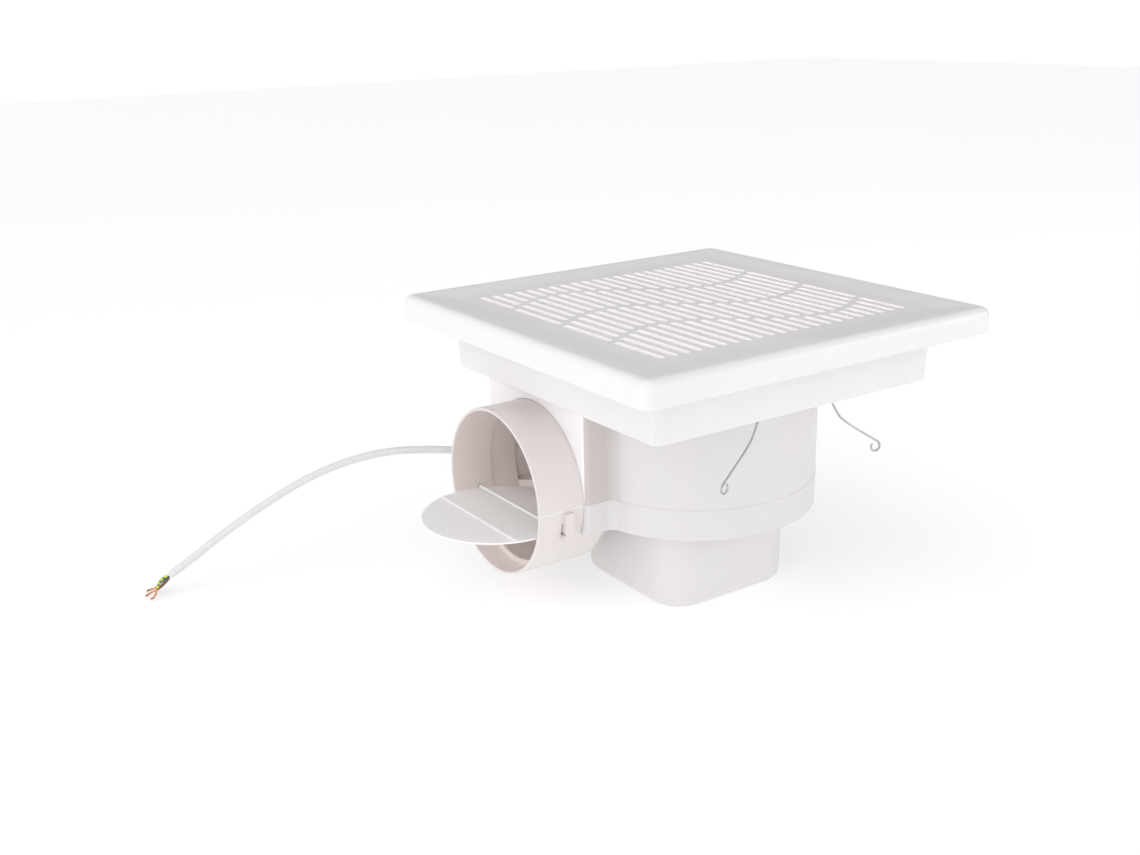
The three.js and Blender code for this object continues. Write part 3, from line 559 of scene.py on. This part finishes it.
def smooth_curve(points, count):
    """Points at even steps along a centripetal Catmull-Rom curve, as the part's own sweeps run."""
    route = [Vector(p) for p in points]
    route = [2 * route[0] - route[1]] + route + [2 * route[-1] - route[-2]]
    dense = []
    for a, b, c, d in zip(route, route[1:], route[2:], route[3:]):
        t0 = 0
        t1 = t0 + sqrt((b - a).length)
        t2 = t1 + sqrt((c - b).length)
        t3 = t2 + sqrt((d - c).length)
        for i in range(12):
            t = t1 + (t2 - t1) * i / 12
            ab = a.lerp(b, (t - t0) / (t1 - t0))
            bc = b.lerp(c, (t - t1) / (t2 - t1))
            cd = c.lerp(d, (t - t2) / (t3 - t2))
            abc = ab.lerp(bc, (t - t0) / (t2 - t0))
            bcd = bc.lerp(cd, (t - t1) / (t3 - t1))
            dense.append(abc.lerp(bcd, (t - t1) / (t2 - t1)))
    dense.append(route[-2])
    lengths = [0]
    for a, b in zip(dense, dense[1:]):
        lengths.append(lengths[-1] + (b - a).length)
    even, k = [], 0
    for i in range(count + 1):
        target = lengths[-1] * i / count
        while k + 2 < len(lengths) and lengths[k + 1] < target:
            k += 1
        span = lengths[k + 1] - lengths[k]
        even.append(dense[k].lerp(dense[k + 1], (target - lengths[k]) / span if span else 0))
    return even


def frames_along(path):
    """A steady pair of side directions at each point of a path."""
    tangents = []
    for i in range(len(path)):
        ahead, behind = path[min(i + 1, len(path) - 1)], path[max(i - 1, 0)]
        tangents.append((ahead - behind).normalized())
    side = tangents[0].orthogonal().normalized()
    pairs = []
    for tangent in tangents:
        side = (side - tangent * side.dot(tangent)).normalized()
        pairs.append((side, tangent.cross(side)))
    return pairs


def sweep(name, path, radius, sides, material=None):
    """A round bar along a path, with slightly rounded ends. Works in the path's own unit."""
    def drawn_in(end, beside):
        return end.lerp(beside, min(0.5, 0.3 * radius / max((beside - end).length, 1e-9)))

    pairs = frames_along(path)
    points, faces = [], []
    rows = [(0, 0.7), *[(i, 1.0) for i in range(len(path))], (len(path) - 1, 0.7)]
    for index, (i, scale) in enumerate(rows):
        side, over = pairs[i]
        centre = path[i]
        if index == 1:
            centre = drawn_in(path[0], path[1])
        if index == len(rows) - 2:
            centre = drawn_in(path[-1], path[-2])
        for k in range(sides):
            angle = 2 * pi * k / sides
            points.append(centre + scale * radius * (cos(angle) * side + sin(angle) * over))
    for row in range(len(rows) - 1):
        for k in range(sides):
            a, b = row * sides + k, row * sides + (k + 1) % sides
            faces.append((a, b, b + sides, a + sides))
    faces.append(tuple(reversed(range(sides))))
    last = (len(rows) - 1) * sides
    faces.append(tuple(last + k for k in range(sides)))
    mesh = bpy.data.meshes.new(name)
    mesh.from_pydata([tuple(p) for p in points], [], faces)
    mesh.update()
    made = new_object(name, mesh, material)
    smooth(made, 50)
    return made


# ---- mains cord, its cores and their copper ----
def make_cord():
    path = smooth_curve(CORD_ROUTE, 120)
    sheath = sweep("power_cord_sheath", path, CORD_RADIUS * MM, sides=28, material=sheath_plastic)
    colours = {"earth": earth_plastic, "neutral": neutral_plastic, "live": live_plastic}
    for name, route in CORE_ROUTES.items():
        core = sweep("core_" + name + "_insulation", smooth_curve(route, 24), CORE_RADIUS * MM, sides=18,
                     material=colours[name])
        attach(core, "housing")
        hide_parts("core_" + name)
        copper = twisted_strands("copper_" + name + "_strands", COPPER_ROUTES[name])
        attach(copper, "housing")
        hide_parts("copper_" + name)
    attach(sheath, "housing")
    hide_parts("power_cord")


def twisted_strands(name, route):
    """Seven fine strands twisted along a route, fraying a little at the tip."""
    path = smooth_curve(route, 30)
    pairs = frames_along(path)
    strand = STRAND_RADIUS * MM / 3
    parts = [sweep(name + "_middle", path, strand, sides=8)]
    for k in range(6):
        line = []
        for i, (centre, (side, over)) in enumerate(zip(path, pairs)):
            along = i / (len(path) - 1)
            angle = radians(60 * k + 300 * along)
            reach = 2 * strand * (1 + 0.25 * max(0, along - 0.7))
            line.append(centre + reach * (cos(angle) * side + sin(angle) * over))
        parts.append(sweep(name + str(k), line, strand, sides=8))
    made = merge(name, parts, copper_strand)
    made.data.polygons.foreach_set("use_smooth", [True] * len(made.data.polygons))
    return made


make_cord()


# ---- grille panel ----
def slot_edge(line, x):
    return line - SLOT_WAVE["height"] * sin(2 * pi * x / SLOT_WAVE["period"])


def slot_spans():
    """(x, low, high) of each slot."""
    for column in range(SLOTS["columns"]):
        x = (column - (SLOTS["columns"] - 1) / 2) * SLOTS["pitch"]
        for row in range(len(SLOT_LINES) - 1):
            low, high = SLOT_LINES[row], SLOT_LINES[row + 1]
            if row > 0:
                low = slot_edge(low, x) + SLOTS["gap"] / 2
            if row < len(SLOT_LINES) - 2:
                high = slot_edge(high, x) - SLOTS["gap"] / 2
            yield x, low, high


def slot_outline(x, low, high, grow):
    """A narrow slot with half-round ends, clockwise, widened all round by grow."""
    inner = SLOTS["width"] / 2
    radius = inner + grow
    points = []
    for base, start in ((high - inner, pi), (low + inner, 0)):
        for i in range(9):
            angle = start - pi * i / 8
            points.append((x + radius * cos(angle), base + radius * sin(angle)))
    return points


def in_slot(centre, normal):
    """Whether a face of the panel is the wall of a slot."""
    bars = FACE_TOP - PANEL["dish"] - SLOTS["depth"]
    field = SLOT_LINES[-1] + 1
    return abs(normal.z) < 0.7 and centre.z > bars and abs(centre.x) < field and abs(centre.y) < field


def loop_in(work, points):
    return [work.verts.new(Vector(p) * MM) for p in points]


def bridge(work, first, second):
    count = len(first)
    for i in range(count):
        j = (i + 1) % count
        work.faces.new((first[i], first[j], second[j], second[i]))


def fill_between(work, loops):
    """A flat sheet inside the first loop and outside the others."""
    edges = []
    for loop in loops:
        for i, vertex in enumerate(loop):
            other = loop[(i + 1) % len(loop)]
            edges.append(work.edges.get((vertex, other)) or work.edges.new((vertex, other)))
    bmesh.ops.triangle_fill(work, edges=edges, use_beauty=True, normal=(0, 0, 1))


def make_panel():
    face = FACE_TOP - PANEL["dish"]
    bottom = FACE_TOP - PANEL["skirt"]
    shoulder = FACE_TOP - PANEL["round"]
    work = bmesh.new()

    def square(inset, z, corner=None):
        half = PANEL["half"] - inset
        radius = max(PANEL["corner"] - inset, 1.2) if corner is None else corner
        return loop_in(work, [(x, y, z) for x, y in rounded_outline(half, half, radius, 8)])

    lip = 0.6
    part_lip = lip * 0.3
    rings = [square(WALL, bottom + lip), square(WALL - part_lip, bottom + part_lip)]
    rings += [square(WALL - lip, bottom), square(lip, bottom)]
    rings += [square(part_lip, bottom + part_lip), square(0.03, bottom + lip)]
    for i in range(1, 4):
        rings.append(square(PANEL["draft"] * i / 4, bottom + (shoulder - bottom) * i / 4))
    for sine, cosine in quarter(10):
        inset = PANEL["draft"] + PANEL["round"] * (1 - cosine)
        rings.append(square(inset, shoulder + PANEL["round"] * sine))
    crown = PANEL["half"] - PANEL["draft"] - PANEL["round"]
    slope = 8
    for i in range(1, slope + 1):
        part = i / slope
        ease = part * part * (3 - 2 * part)
        half = crown + (FIELD_HALF - crown) * part
        z = FACE_TOP - PANEL["dish"] * (0.35 * part + 0.65 * ease)
        rings.append(square(PANEL["half"] - half, z, corner=2.2))
    for first, second in zip(rings, rings[1:]):
        bridge(work, first, second)
    spans = list(slot_spans())
    edge = SLOTS["edge"]
    tops, bases = [], []
    for x, low, high in spans:
        rows = []
        for sine, cosine in quarter(3):
            outline = slot_outline(x, low, high, edge * (1 - sine))
            rows.append(loop_in(work, [(px, py, face - edge * (1 - cosine)) for px, py in outline]))
        rows.append(loop_in(work, [(px, py, face - SLOTS["depth"])
                                   for px, py in slot_outline(x, low, high, 0)]))
        for first, second in zip(rows, rows[1:]):
            bridge(work, first, second)
        tops.append(rows[0])
        bases.append(rows[-1])
    fill_between(work, [rings[-1], *tops])
    bar_half = FIELD_HALF - 6
    bars = rounded_outline(bar_half, bar_half, 1, 8)
    bar_loop = loop_in(work, [(x, y, face - SLOTS["depth"]) for x, y in bars])
    bar_top = loop_in(work, [(x, y, face - PANEL["sheet"]) for x, y in bars])
    fill_between(work, [bar_loop, *bases])
    bridge(work, bar_loop, bar_top)
    roof = square(WALL + PANEL["draft"] + 3, face - PANEL["sheet"], corner=4)
    side = square(WALL + PANEL["draft"], shoulder)
    bridge(work, bar_top, roof)
    bridge(work, roof, side)
    bridge(work, side, rings[0])
    bmesh.ops.recalc_face_normals(work, faces=work.faces)
    mesh = bpy.data.meshes.new("grille_face")
    work.to_mesh(mesh)
    work.free()
    body = new_object("grille_face", mesh)
    face_out(body)
    holders = []
    for side_y in (-1, 1):
        y = side_y * SPRING["y"]
        half, gap, thick = HOLDER["half"], HOLDER["gap"], HOLDER["thick"]
        height = (SPRING["z"] - HOLDER["drop"], face - PANEL["sheet"] + 0.5)
        for offset in (-gap - thick, gap):
            tab = block("tab", (-half, half), (y + offset, y + offset + thick), height)
            holders.append(dress(tab, white_panel, bevel=0.5, segments=2))
        pin = rod("pin", HOLDER["pin"], -gap - 1, gap + 1, "y", (0, y, SPRING["z"]), 24)
        holders.append(dress(pin, white_panel, bevel=0.2))
    dress(body, white_panel, bevel=0)
    for part in (body, *holders):
        part.modifiers.clear()
    panel = merge("grille_front", [body, *holders], white_panel)
    # The slot walls get the painted-light material.
    paint(panel, slot_wall_painted_light, in_slot)
    smooth(panel)
    weighting = panel.modifiers.new("weighting", "WEIGHTED_NORMAL")
    weighting.keep_sharp = True
    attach(panel, "panel")
    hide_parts("grille_panel")


make_panel()


# ---- housing ----
def scroll_outline(inset):
    corner = 4.5
    neck_x, neck_y = SCROLL["neck_x"] + inset, SCROLL["neck_y"] + inset
    side_y = SCROLL["side_y"] - inset
    inner = max(corner - inset, 1)
    fillet = TONGUE["fillet"] + inset
    fillet_y = SCROLL["neck_y"] - TONGUE["fillet"]
    fillet_x = -sqrt((SCROLL["start"] + 0.5 + TONGUE["fillet"]) ** 2 - fillet_y ** 2)
    meeting = degrees(atan2(fillet_y, fillet_x)) + 360
    points = []

    def arc(cx, cy, radius, start, end, steps):
        for i in range(steps + 1):
            angle = radians(start + (end - start) * i / steps)
            points.append((cx + radius * cos(angle), cy + radius * sin(angle)))

    arc(neck_x + inner, side_y - inner, inner, 90, 180, 8)
    arc(neck_x + inner, neck_y + inner, inner, 180, 270, 8)
    arc(fillet_x, fillet_y, fillet, 90, meeting - 180, 8)
    steps = 90
    for i in range(1, steps + 1):
        angle = meeting + (450 - meeting) * i / steps
        part = (angle - TONGUE["from"]) / (450 - TONGUE["from"])
        radius = SCROLL["start"] + SCROLL["growth"] * part ** SCROLL["power"] - inset
        points.append((radius * cos(radians(angle)), radius * sin(radians(angle))))
    return points


def motor_box_solid(name, wall, top):
    edge = MOTOR_BOX["edge"]
    layers = []

    def layer(z, inset):
        layers.append((rounded_outline(MOTOR_BOX["half_x"] - inset, MOTOR_BOX["half_y"] - inset,
                                       MOTOR_BOX["corner"] - inset, 14), z))

    for sine, cosine in quarter(8):
        layer(wall + (edge - wall) * (1 - cosine), wall + MOTOR_BOX["draft"] + (edge - wall) * (1 - sine))
    layer(top, wall)
    return loft(name, layers)


def rim_box_solid(name, wall, bottom, top):
    half = RIM_BOX["half"] - wall
    radius = RIM_BOX["corner"] - wall
    edge = max(RIM_BOX["edge"] - wall, 0.4)
    layers = []
    for sine, cosine in quarter(5):
        inset = edge * (1 - sine)
        outline = rounded_outline(half - inset, half - inset, radius - inset)
        layers.append((outline, bottom + edge * (1 - cosine)))
    grown = half + RIM_BOX["draft"]
    layers.append((rounded_outline(grown, grown, radius), top))
    return loft(name, layers)


def funnel_solid(name, wall, front, end):
    radius = DUCT["radius"] - wall
    narrow = FUNNEL["radius"] - wall
    profile = [(0, front), (radius, front)]
    start = DUCT["back"] + GAP
    profile.append((radius, start))
    for i in range(1, 9):
        part = i / 8
        bow = FUNNEL["bow"] * sin(pi * part)
        profile.append((radius + (narrow - radius) * part + bow, start + (end - start) * part))
    profile.append((0, end))
    return turned(name, profile, "x", (0, DUCT["y"], DUCT["z"]), 128)


def spring_slot(side_x, side_y):
    turn = radians(SPRING["splay"])
    half = SPRING_SLOT["width"] / 2
    straight = SPRING_SLOT["far"] - half
    near = SPRING_SLOT["near"] + half
    outline = []
    for centre, start in ((straight, -90), (near, 90)):
        for i in range(9):
            angle = radians(start + 180 * i / 8)
            outline.append((centre + half * cos(angle), half * sin(angle)))
    placed = []
    for u, v in outline:
        x = u * cos(turn) - v * sin(turn)
        y = u * sin(turn) + v * cos(turn)
        placed.append((side_x * x, side_y * (y + SPRING["y"])))
    return prism("spring_slot", placed, RIM_BOX["bottom"] - 1, RIM_BOX["bottom"] + WALL + 1)


def on_neck_front(centre, normal):
    """Whether a face is on the flat wall that the duct comes out of; these faces get painted light."""
    height = PARTING["high"] < centre.z < RIM_BOX["bottom"]
    return normal.x < -0.6 and centre.x < SCROLL["neck_x"] + 2 and height


def on_neck_side(centre, normal):
    """Whether a face is on the neck's wall next to the scroll, up to the hollow between them; these faces get
    painted shade.
    """
    near = centre.y > SCROLL["neck_y"] - TONGUE["fillet"] and centre.y < SCROLL["neck_y"] + 2
    return near and normal.y < -0.1 and centre.x < -70 and PARTING["high"] < centre.z < RIM_BOX["bottom"]


def make_housing():
    low, top = RIM_BOX["bottom"], RIM_BOX["top"]
    flange_top = top + FLANGE["thick"]
    body = in_material(rim_box_solid("fan_housing", 0, low, top + 1), white_shell)
    face_out(body)
    join(body, prism("flange", rounded_outline(FLANGE["half"], FLANGE["half"], FLANGE["corner"]),
                     top, flange_top))
    join(body, prism("scroll", scroll_outline(0), SCROLL["bottom"], low + 1))
    join(body, prism("parting", scroll_outline(-PARTING["raised"]), PARTING["low"], PARTING["high"]))
    duct_centre, duct_back = (0, DUCT["y"], DUCT["z"]), DUCT["back"] + GAP
    join(body, funnel_solid("funnel", 0, duct_back, FUNNEL["end"] + 3))
    join(body, motor_box_solid("motor_box", 0, SCROLL["bottom"] + 1))
    cut(body, rim_box_solid("rim_room", WALL, low + WALL, flange_top + 1))
    cut(body, rod("inlet_hole", INLET_HOLE, low - 1, low + WALL + 1))
    # The inside walls get the painted-light material.
    scroll_room = prism("scroll_room", scroll_outline(WALL), SCROLL["bottom"] + WALL, low)
    cut(body, in_material(scroll_room, inside_painted_light))
    funnel_room = funnel_solid("funnel_room", DUCT["wall"], DUCT["back"] - 1, FUNNEL["end"])
    cut(body, in_material(funnel_room, inside_painted_light))
    cut(body, motor_box_solid("motor_room", WALL, SCROLL["bottom"] + WALL + 0.5))
    cut(body, rod("collar_hole", DUCT["radius"] + GAP, DUCT["front"], duct_back, "x", duct_centre, 128))
    for side_x, side_y in SIDES:
        centre = (side_x * POST["place"], side_y * POST["place"], 0)
        join(body, rod("post", POST["radius"], WALL - 1, POST["top"], centre=centre, segments=32))
        cut(body, rod("post_hole", POST["hole"], POST["bottom"], POST["top"] + 1, centre=centre, segments=16))
        for x, y in ((FLANGE["reach"], FLANGE["side"]), (FLANGE["side"], FLANGE["reach"])):
            cut(body, rod("hole", FLANGE["hole"], top - 1, flange_top + 1,
                          centre=(side_x * x, side_y * y, 0), segments=24))
        cut(body, spring_slot(side_x, side_y))
        place = INLET_SCREW["ring"] / sqrt(2)
        cut(body, rod("screw_hole", INLET_SCREW["hole"], low - 1, low + WALL + 1,
                      centre=(side_x * place, side_y * place, 0), segments=24))
    entry = (LEAD["x"], 0, LEAD["z"])
    wall_y = MOTOR_BOX["half_y"]
    cut(body, rod("lead_hole", LEAD["hole"], wall_y - 6, wall_y + 3, "y", entry, 24))
    dress(body, white_shell, bevel=0.7, segments=3)
    # Painted light: a brighter white on the neck's front wall.
    paint(body, neck_front_painted_light, on_neck_front)
    # Painted shade: a darker colour on the neck's side wall.
    paint(body, neck_side_painted_shade, on_neck_side)
    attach(body, "housing")
    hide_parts("housing")


make_housing()


# ---- duct collar ----
def off_axis(centre):
    """How far a point is from the duct's axis."""
    return Vector((0, centre.y - DUCT["y"], centre.z - DUCT["z"])).length


def in_bore(centre, normal):
    """Whether a face of the collar is inside its bore."""
    return off_axis(centre) < DUCT["radius"] - DUCT["wall"] + 0.3 and centre.x > DUCT["front"] + 1


def in_deep_bore(centre, normal):
    """Whether a face of the collar is inside its bore, past the neck's front wall."""
    return off_axis(centre) < DUCT["radius"] - 0.6 and centre.x > BORE_STEP["x"] + 0.1


def on_parting(centre, normal):
    """Whether a face is on the fine raised line where the two halves of the mould met."""
    out = abs(centre.y - DUCT["y"]) > DUCT["radius"] - 0.3
    return out and PARTING["low"] - 0.1 < centre.z < PARTING["high"] + 0.1


def make_collar():
    outer, inner = DUCT["radius"], DUCT["radius"] - DUCT["wall"]
    front, back = DUCT["front"], DUCT["back"]
    lip = 0.8
    step, deep = BORE_STEP["x"], inner + BORE_STEP["deeper"]
    profile = [(inner, step - 0.4), (inner + 0.4, step), (deep, step), (deep, back + 0.3), (deep + 0.3, back)]
    profile += [(outer - 0.4, back), (outer, back + 0.4)]
    profile += [(outer, -100 + i * (front + lip + 100) / 4) for i in range(5)]
    for sine, cosine in quarter(6)[1:]:
        profile.append((outer - lip * (1 - cosine), front + lip * (1 - sine)))
    for sine, cosine in quarter(6):
        profile.append((inner + lip * (1 - sine), front + lip * (1 - cosine)))
    centre = (0, DUCT["y"], DUCT["z"])
    body = turned("collar", profile, "x", centre, 160)
    x, y = BOSS["x"], DUCT["y"]
    for side in (-1, 1):
        near, far = y + side * (inner + 0.5), y + side * BOSS["reach"]
        join(body, block("boss", about(x, BOSS["half"]), sorted((near, far)),
                         (BOSS["bottom"], BOSS["top"])))
        skin = sorted((y + side * (outer - BOSS_GROOVE["depth"]), far + side))
        edge = x - BOSS["half"]
        cut(body, block("boss_groove", (edge - BOSS_GROOVE["far"], edge - BOSS_GROOVE["near"]), skin,
                        (BOSS["bottom"], BOSS["top"] - BOSS_GROOVE["short"])))
        cut(body, block("boss_notch", about(x, BOSS_NOTCH["half"]), sorted((far - side, far + side)),
                        (BOSS["bottom"] - 1, BOSS["bottom"] + BOSS_NOTCH["height"])))
        seam = sorted((y + side * (inner + 0.5), y + side * (outer + PARTING["raised"])))
        join(body, block("parting", (front + 1, SCROLL["neck_x"] - 0.5), seam,
                         (PARTING["low"], PARTING["high"])))
    cut(body, rod("pin_hole", PIN["radius"] + GAP, -PIN["half"] - GAP, PIN["half"] + GAP, "y",
                  (FLAP["x"], y, FLAP["z"]), 24))
    top = DUCT["z"] + outer
    cut(body, block("notch", (RIM_NOTCH["front"], RIM_NOTCH["back"]), about(y, RIM_NOTCH["half"]),
                    about(top, 1)))
    join(body, block("tab", (STOP_TAB["front"], STOP_TAB["back"]), about(y, STOP_TAB["half"]),
                     (STOP_TAB["bottom"], DUCT["z"] + inner + 0.5)))
    low, high = inner - STOP_RIDGE["height"], inner + 0.4
    start, end = STOP_RIDGE["front"], STOP_RIDGE["back"]
    ridge = turned("ridge", [(high, start), (low, start), (low, end), (high, end)], "x", centre, 160)
    cut(ridge, block("above", (start - 1, end + 1), about(y, 70), (STOP_RIDGE["top"], DUCT["z"] + 70)))
    join(body, ridge)
    # The tube gets the painted-shade material.
    dress(body, duct_painted_shade, bevel=0.35, segments=2)
    # The bore gets the painted-light material.
    paint(body, inside_painted_light, in_bore)
    # Painted shade: the bore past the neck's front wall is darker.
    paint(body, deep_inside_painted_shade, in_deep_bore)
    # Painted highlight: the bright neck material on the parting line.
    paint(body, neck_front_painted_light, on_parting)
    body.name = "duct_tube"
    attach(body, "housing")
    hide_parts("duct_collar")


make_collar()


# ---- flap ----
def make_flap():
    middle = (FLAP["x"] - FLAP["offset"], DUCT["y"], FLAP["z"])
    pivot = (FLAP["x"], DUCT["y"], FLAP["z"])
    half = FLAP["thick"] / 2
    edge = 0.5
    profile = [(0, -half), (FLAP["radius"] - edge, -half), (FLAP["radius"] - edge * 0.3, -half + edge * 0.3),
               (FLAP["radius"], -half + edge), (FLAP["radius"], half - edge),
               (FLAP["radius"] - edge * 0.3, half - edge * 0.3), (FLAP["radius"] - edge, half), (0, half)]
    body = turned("flap_disc", profile, "z", middle, 160)
    join(body, rod("barrel", BARREL["radius"], -BARREL["half"], BARREL["half"], "y", pivot, 32))
    ridge_x = FLAP["x"] - FLAP["ridge"]
    join(body, block("rib", about(ridge_x, 1), about(DUCT["y"], RIB_HALF),
                     (FLAP["z"], FLAP["z"] + half + 0.95)))
    cut(body, rod("bore", PIN["radius"] + GAP, -70, 70, "y", pivot, 24))
    dress(body, white_flap, bevel=0.3, segments=2)
    body.name = "flap_shutter"
    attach(body, "duct_flap")
    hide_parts("duct_flap")


make_flap()


# ---- springs ----
def spring_leg_route():
    route = [(5.7, 188.9), (20, 170.6), (33, 154), (40, 142.6), (47, 136.4), (60, 127.6), (71.5, 119.8)]
    eye = 3.4
    heading = atan2(-7.8, 11.5)
    end_out, end_z = route[-1]
    centre = (end_out + eye * sin(heading), end_z - eye * cos(heading))
    for i in range(1, 8):
        angle = heading + pi / 2 - i * radians(40)
        route.append((centre[0] + eye * cos(angle), centre[1] + eye * sin(angle)))
    return route


def make_springs():
    splay = radians(SPRING["splay"])
    for side, side_y in (("front", -1), ("rear", 1)):
        turns, steps = 3, 96
        coil = []
        for i in range(steps + 1):
            angle = 2 * pi * turns * i / steps
            reach = (SPRING["length"] / 2 - SPRING["wire"]) * (2 * i / steps - 1)
            coil.append(Vector((SPRING["radius"] * cos(angle), side_y * SPRING["y"] + reach,
                                SPRING["z"] + SPRING["radius"] * sin(angle))) * MM)
        piece = sweep("spring_turns_" + side, coil, SPRING["wire"] * MM * 0.98, sides=12,
                      material=spring_steel)
        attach(piece, "panel")
        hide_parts("spring_coil_" + side)
        for hand, side_x in (("left", -1), ("right", 1)):
            points = []
            for out, z in spring_leg_route():
                y = side_y * (SPRING["y"] + out * sin(splay))
                points.append(Vector((side_x * out * cos(splay), y, z)) * MM)
            name = "spring_leg_" + side + "_" + hand
            piece = sweep("wire_" + side + "_" + hand, smooth_curve(points, 110), SPRING["wire"] * MM,
                          sides=12, material=spring_steel)
            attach(piece, name)
            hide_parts(name)


make_springs()


# ---- inlet ring ----
def make_inlet_ring():
    floor = RIM_BOX["bottom"] + WALL + GAP
    edge = BELL["edge"]
    profile = [(edge, floor), (edge, floor + WALL - 0.4), (edge - 0.4, floor + WALL)]
    inner = []
    for sine, cosine in quarter(10):
        profile.append((BELL["shoulder"] - 12 * sine, floor + WALL - 12 * (1 - cosine)))
        inner.append((BELL["shoulder"] - 10 * sine, floor - 10 * (1 - cosine)))
    body = turned("inlet_bell", profile + inner[::-1], segments=128)
    for side_x, side_y in SIDES:
        place = INLET_SCREW["ring"] / sqrt(2)
        cut(body, rod("hole", INLET_SCREW["hole"], floor - 1, floor + WALL + 1,
                      centre=(side_x * place, side_y * place, 0), segments=16))
    dress(body, inner_plastic, bevel=0.25, segments=2)
    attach(body, "housing")
    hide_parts("inlet_ring")


make_inlet_ring()


# ---- CAD nodes that keep their shape get their finish and softly rounded edges ----
def smoothing_group():
    """Smooths the shading across edges that bend less than a limit."""
    group = bpy.data.node_groups.new("smooth_by_angle", "GeometryNodeTree")
    group.interface.new_socket("Geometry", in_out="INPUT", socket_type="NodeSocketGeometry")
    group.interface.new_socket("Geometry", in_out="OUTPUT", socket_type="NodeSocketGeometry")
    new, link = group.nodes.new, group.links.new
    start, end = new("NodeGroupInput"), new("NodeGroupOutput")
    faces = new("GeometryNodeSetShadeSmooth")
    edges = new("GeometryNodeSetShadeSmooth")
    edges.domain = "EDGE"
    angle = new("GeometryNodeInputMeshEdgeAngle")
    compare = new("FunctionNodeCompare")
    compare.operation = "LESS_THAN"
    compare.inputs[1].default_value = radians(42)
    link(start.outputs[0], faces.inputs["Geometry"])
    link(faces.outputs["Geometry"], edges.inputs["Geometry"])
    link(angle.outputs[0], compare.inputs[0])
    link(compare.outputs[0], edges.inputs["Shade Smooth"])
    link(edges.outputs["Geometry"], end.inputs[0])
    return group


def dress_nodes():
    finishes = {
        "terminal_box": white_shell, "terminal_cover": white_shell, "terminal_block": terminal_plastic,
        "capacitor": capacitor_plastic, "cable_gland": inner_plastic, "motor_lead": sheath_plastic,
        "impeller": impeller_plastic, "rotor": laminate_steel, "stator_core": laminate_steel,
        "winding_upper": copper_winding, "winding_lower": copper_winding, "motor_shaft": shaft_steel,
        "bearing_upper": shaft_steel, "bearing_lower": shaft_steel, "flap_pin": shaft_steel,
    }
    bevels = {"terminal_box": 0.8, "terminal_cover": 0.6, "impeller": 0, "motor_lead": 0}
    group = smoothing_group()
    for name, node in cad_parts.items():
        if node.hide_render:
            continue
        material = rubber if name.startswith("grommet") else finishes.get(name, zinc_steel)
        node.data.materials.clear()
        node.data.materials.append(material)
        width = bevels.get(name, 0.2)
        if width:
            round_edges(node, width, 2, 50)
        smoothing = node.modifiers.new("smoothing", "NODES")
        smoothing.node_group = group


dress_nodes()


# ---- floor, world and lights ----
WORLD = {"bright_side": (-0.94, -0.33, -0.06), "bright": 1.4, "dark": 0.16, "seen": 1.1}


def make_floor():
    size, depth = 6000, -0.2
    corners = [(-size, -size, depth), (size, -size, depth), (size, size, depth), (-size, size, depth)]
    floor = mesh_from("floor", corners, [(0, 1, 2, 3)])
    n = Nodes("pale_floor")
    n.set(Base_Color=(0.82, 0.82, 0.82, 1), Roughness=0.9)
    n.set(Emission_Color=(1, 1, 1, 1), Emission_Strength=0.34)
    n.feed(Roughness=n.spread(n.noise(3), 0.85, 0.95))
    floor.data.materials.append(n.material)


def make_world():
    """A pale studio, bright in front of the duct and darker behind and overhead, seen as plain white."""
    world = bpy.data.worlds.new("studio")
    scene.world = world
    world.use_nodes = True
    tree = world.node_tree
    new, link = tree.nodes.new, tree.links.new
    background = tree.nodes["Background"]
    coordinates = new("ShaderNodeTexCoord")
    facing = new("ShaderNodeVectorMath")
    facing.operation = "DOT_PRODUCT"
    facing.inputs[1].default_value = WORLD["bright_side"]
    ramp = new("ShaderNodeMapRange")
    link(coordinates.outputs["Generated"], facing.inputs[0])
    link(facing.outputs["Value"], ramp.inputs["Value"])
    limits = {"From Min": -1.0, "From Max": 1.0, "To Min": WORLD["dark"], "To Max": WORLD["bright"]}
    for key, value in limits.items():
        ramp.inputs[key].default_value = value
    path = new("ShaderNodeLightPath")
    seen = new("ShaderNodeMix")
    seen.inputs["B"].default_value = WORLD["seen"]
    link(path.outputs["Is Camera Ray"], seen.inputs["Factor"])
    link(ramp.outputs["Result"], seen.inputs["A"])
    link(seen.outputs["Result"], background.inputs["Strength"])
    background.inputs["Color"].default_value = (1, 1, 1, 1)


def soft_light(name, place, aim, size, power):
    data = bpy.data.lights.new(name, "AREA")
    data.shape = "RECTANGLE"
    data.size, data.size_y = size
    data.energy = power
    light = bpy.data.objects.new(name, data)
    scene.collection.objects.link(light)
    light.location = place
    light.rotation_euler = (Vector(aim) - Vector(place)).to_track_quat("-Z", "Y").to_euler()


make_floor()
make_world()
soft_light("key", (1.6, -1.25, 0.7), (0, 0, 0.12), (1.0, 0.7), 7)
soft_light("overhead", (-0.7, -0.3, 2.2), (-0.05, 0, 0.1), (1.4, 1.4), 3)
soft_light("side", (-2.2, 0.3, 0.5), (0, 0, 0.12), (1.2, 1.0), 1.2)
scene.view_settings.view_transform = "Standard"
scene.view_settings.look = "None"
